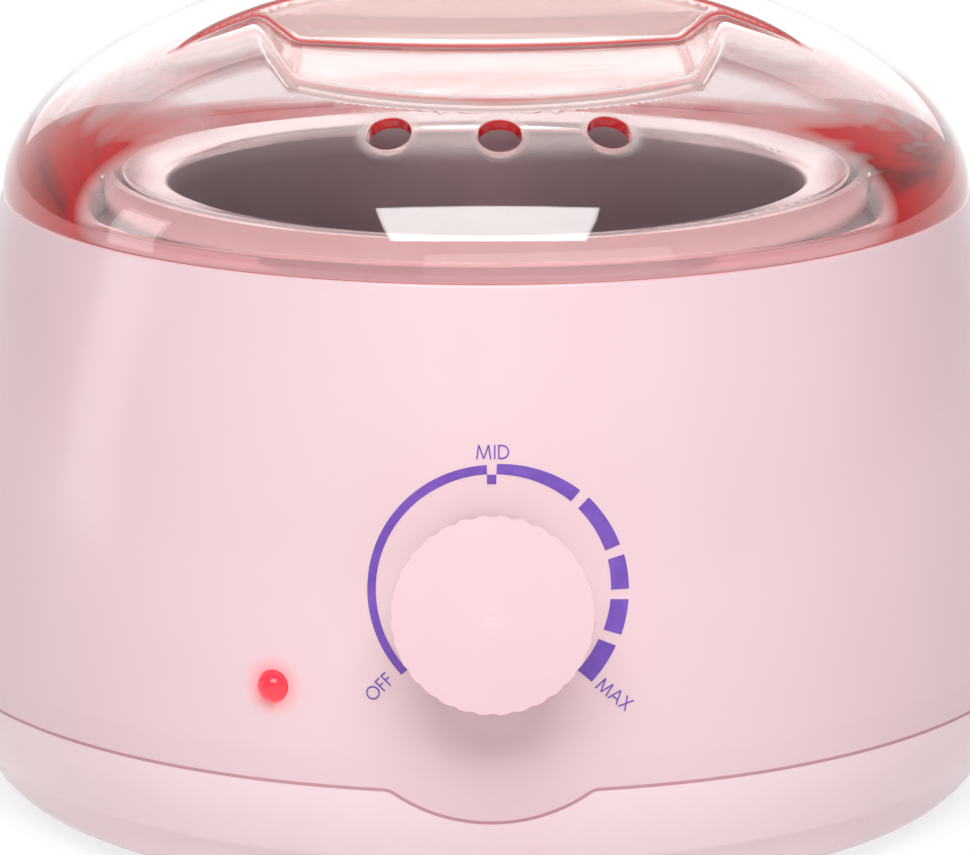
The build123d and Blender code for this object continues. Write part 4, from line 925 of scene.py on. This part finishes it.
def make_seam(look):
    """Thin band that closes the gap, about level with the wall."""
    s = Shell()
    fine = [(x, True) for x in np.arange(-FINE_HALF, FINE_HALF + 0.01, FINE_STEP)]
    start = asin(FINE_HALF / SEAM_R)
    coarse = [(t, False) for t in np.linspace(start, 2 * pi - start, COARSE_ROWS)[1:-1]]
    rows = []
    for at, front in fine + coarse:
        row = []
        for way, inset in ((-1, SEAM_OUT), (-1, SEAM_IN), (1, SEAM_IN), (1, SEAM_OUT)):
            if front:
                z, down = seam_line(at)
                row.append(on_wall(at + way * SEAM_HALF * down[0], z + way * SEAM_HALF * down[1], -inset))
            else:
                z = SEAM_Z - way * SEAM_HALF
                r = -on_wall(0.0, z, -inset)[1]
                row.append((r * sin(at), -r * cos(at), z))
        rows.append(s.add(row))
    for a, b in zip(rows, rows[1:] + rows[:1]):
        s.strip(b, a)
    return s.object("seam_band", look, flat_shade=True)


seam = make_seam(moulded("seam_shade", rgb(206, 152, 162), rgb(198, 142, 154), 0.55, 0.05))
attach(seam, "base")

# ------------------------------------------------------------------ floor
FLOOR_HALF = 4.0
FLOOR_GREY = (238, 238, 238)
FLOOR_NEAR, FLOOR_FAR = (0.3, 0.78), (1.6, 0.96)     # distance from the upright axis, and glow there
SHADE_KEPT = 0.35                    # part of the lamps' light and shadow that shows on the floor


def floor_material():
    """Pale floor that shows as white, with part of its shade kept for the object's shadow."""
    m = Look("floor", rgb(*FLOOR_GREY), 0.9)
    m.colour(m.mix(m.noise(6, 3), rgb(*FLOOR_GREY), rgb(*[c - 3 for c in FLOOR_GREY])))
    path = m.node("ShaderNodeLightPath").outputs
    seen = m.math("MAXIMUM", path["Is Camera Ray"], path["Is Glossy Ray"])
    seen = m.math("MAXIMUM", seen, path["Is Transmission Ray"])
    light = m.node("ShaderNodeEmission")
    glow = m.span(m.radius(), FLOOR_NEAR[0], FLOOR_FAR[0], FLOOR_NEAR[1], FLOOR_FAR[1])
    m.feed(light.inputs["Strength"], glow)
    add = m.node("ShaderNodeAddShader")
    m.feed(add.inputs[0], m.mix_shaders(SHADE_KEPT, None, m.shader.outputs[0]))
    m.feed(add.inputs[1], light.outputs[0])
    m.feed(m.output.inputs["Surface"], m.mix_shaders(seen, m.shader.outputs[0], add.outputs[0]))
    return m.mat


floor_mesh = bpy.data.meshes.new("floor")
corners = [(-FLOOR_HALF, -FLOOR_HALF, 0), (FLOOR_HALF, -FLOOR_HALF, 0),
           (FLOOR_HALF, FLOOR_HALF, 0), (-FLOOR_HALF, FLOOR_HALF, 0)]
floor_mesh.from_pydata(corners, [], [(0, 1, 2, 3)])
floor_mesh.materials.append(floor_material())
floor = bpy.data.objects.new("floor", floor_mesh)
scene.collection.objects.link(floor)

# ------------------------------------------------------------------ world
# Seen directly it is white. In reflections and through the lid it is white behind the object and dim
# elsewhere: kind of ray, the range of the direction's Y over which it brightens, and the dim strength.
ROOM = (("Is Glossy Ray", 0.4, 0.95, 0.3), ("Is Transmission Ray", -0.6, 0.25, 0.35))
AMBIENT = 0.26                       # strength for all other rays

world = bpy.data.worlds.new("studio")
scene.world = world
world.use_nodes = True
sky = Nodes(world.node_tree)
back = world.node_tree.nodes["Background"]
back.inputs["Color"].default_value = (1, 1, 1, 1)
rays = sky.node("ShaderNodeLightPath").outputs
direction = sky.node("ShaderNodeSeparateXYZ")
sky.feed(direction.inputs[0], sky.node("ShaderNodeTexCoord").outputs["Generated"])
strength = rays["Is Camera Ray"]
for kind, low, high, dim in ROOM:
    backdrop = sky.span(direction.outputs[1], low, high, dim, 1.0)
    strength = sky.math("MAXIMUM", strength, sky.math("MULTIPLY", rays[kind], backdrop))
sky.feed(back.inputs["Strength"], sky.math("MAXIMUM", strength, AMBIENT))

# ------------------------------------------------------------------ lamps
LAMP_TARGET = Vector((0, 0, 0.08))


def softbox(name, azimuth, elevation, distance, width, height, radiance):
    """A soft lamp that faces the object. Azimuth is from the front, positive to the right."""
    a, e = radians(azimuth), radians(elevation)
    lamp = bpy.data.lights.new(name, "AREA")
    lamp.shape = "RECTANGLE"
    lamp.size, lamp.size_y = width, height
    lamp.energy = radiance * pi * width * height
    obj = bpy.data.objects.new(name, lamp)
    scene.collection.objects.link(obj)
    away = Vector((sin(a) * cos(e), -cos(a) * cos(e), sin(e)))
    obj.location = LAMP_TARGET + distance * away
    obj.rotation_euler = away.to_track_quat("Z", "Y").to_euler()


softbox("key", azimuth=0, elevation=46, distance=1.1, width=0.83, height=0.52, radiance=6.9)
softbox("fill", azimuth=14, elevation=3, distance=1.3, width=1.4, height=0.9, radiance=0.58)
softbox("strip_left", azimuth=-88, elevation=2, distance=1.0, width=0.26, height=0.62, radiance=1.8)
softbox("back", azimuth=180, elevation=22, distance=1.4, width=1.6, height=0.9, radiance=0.75)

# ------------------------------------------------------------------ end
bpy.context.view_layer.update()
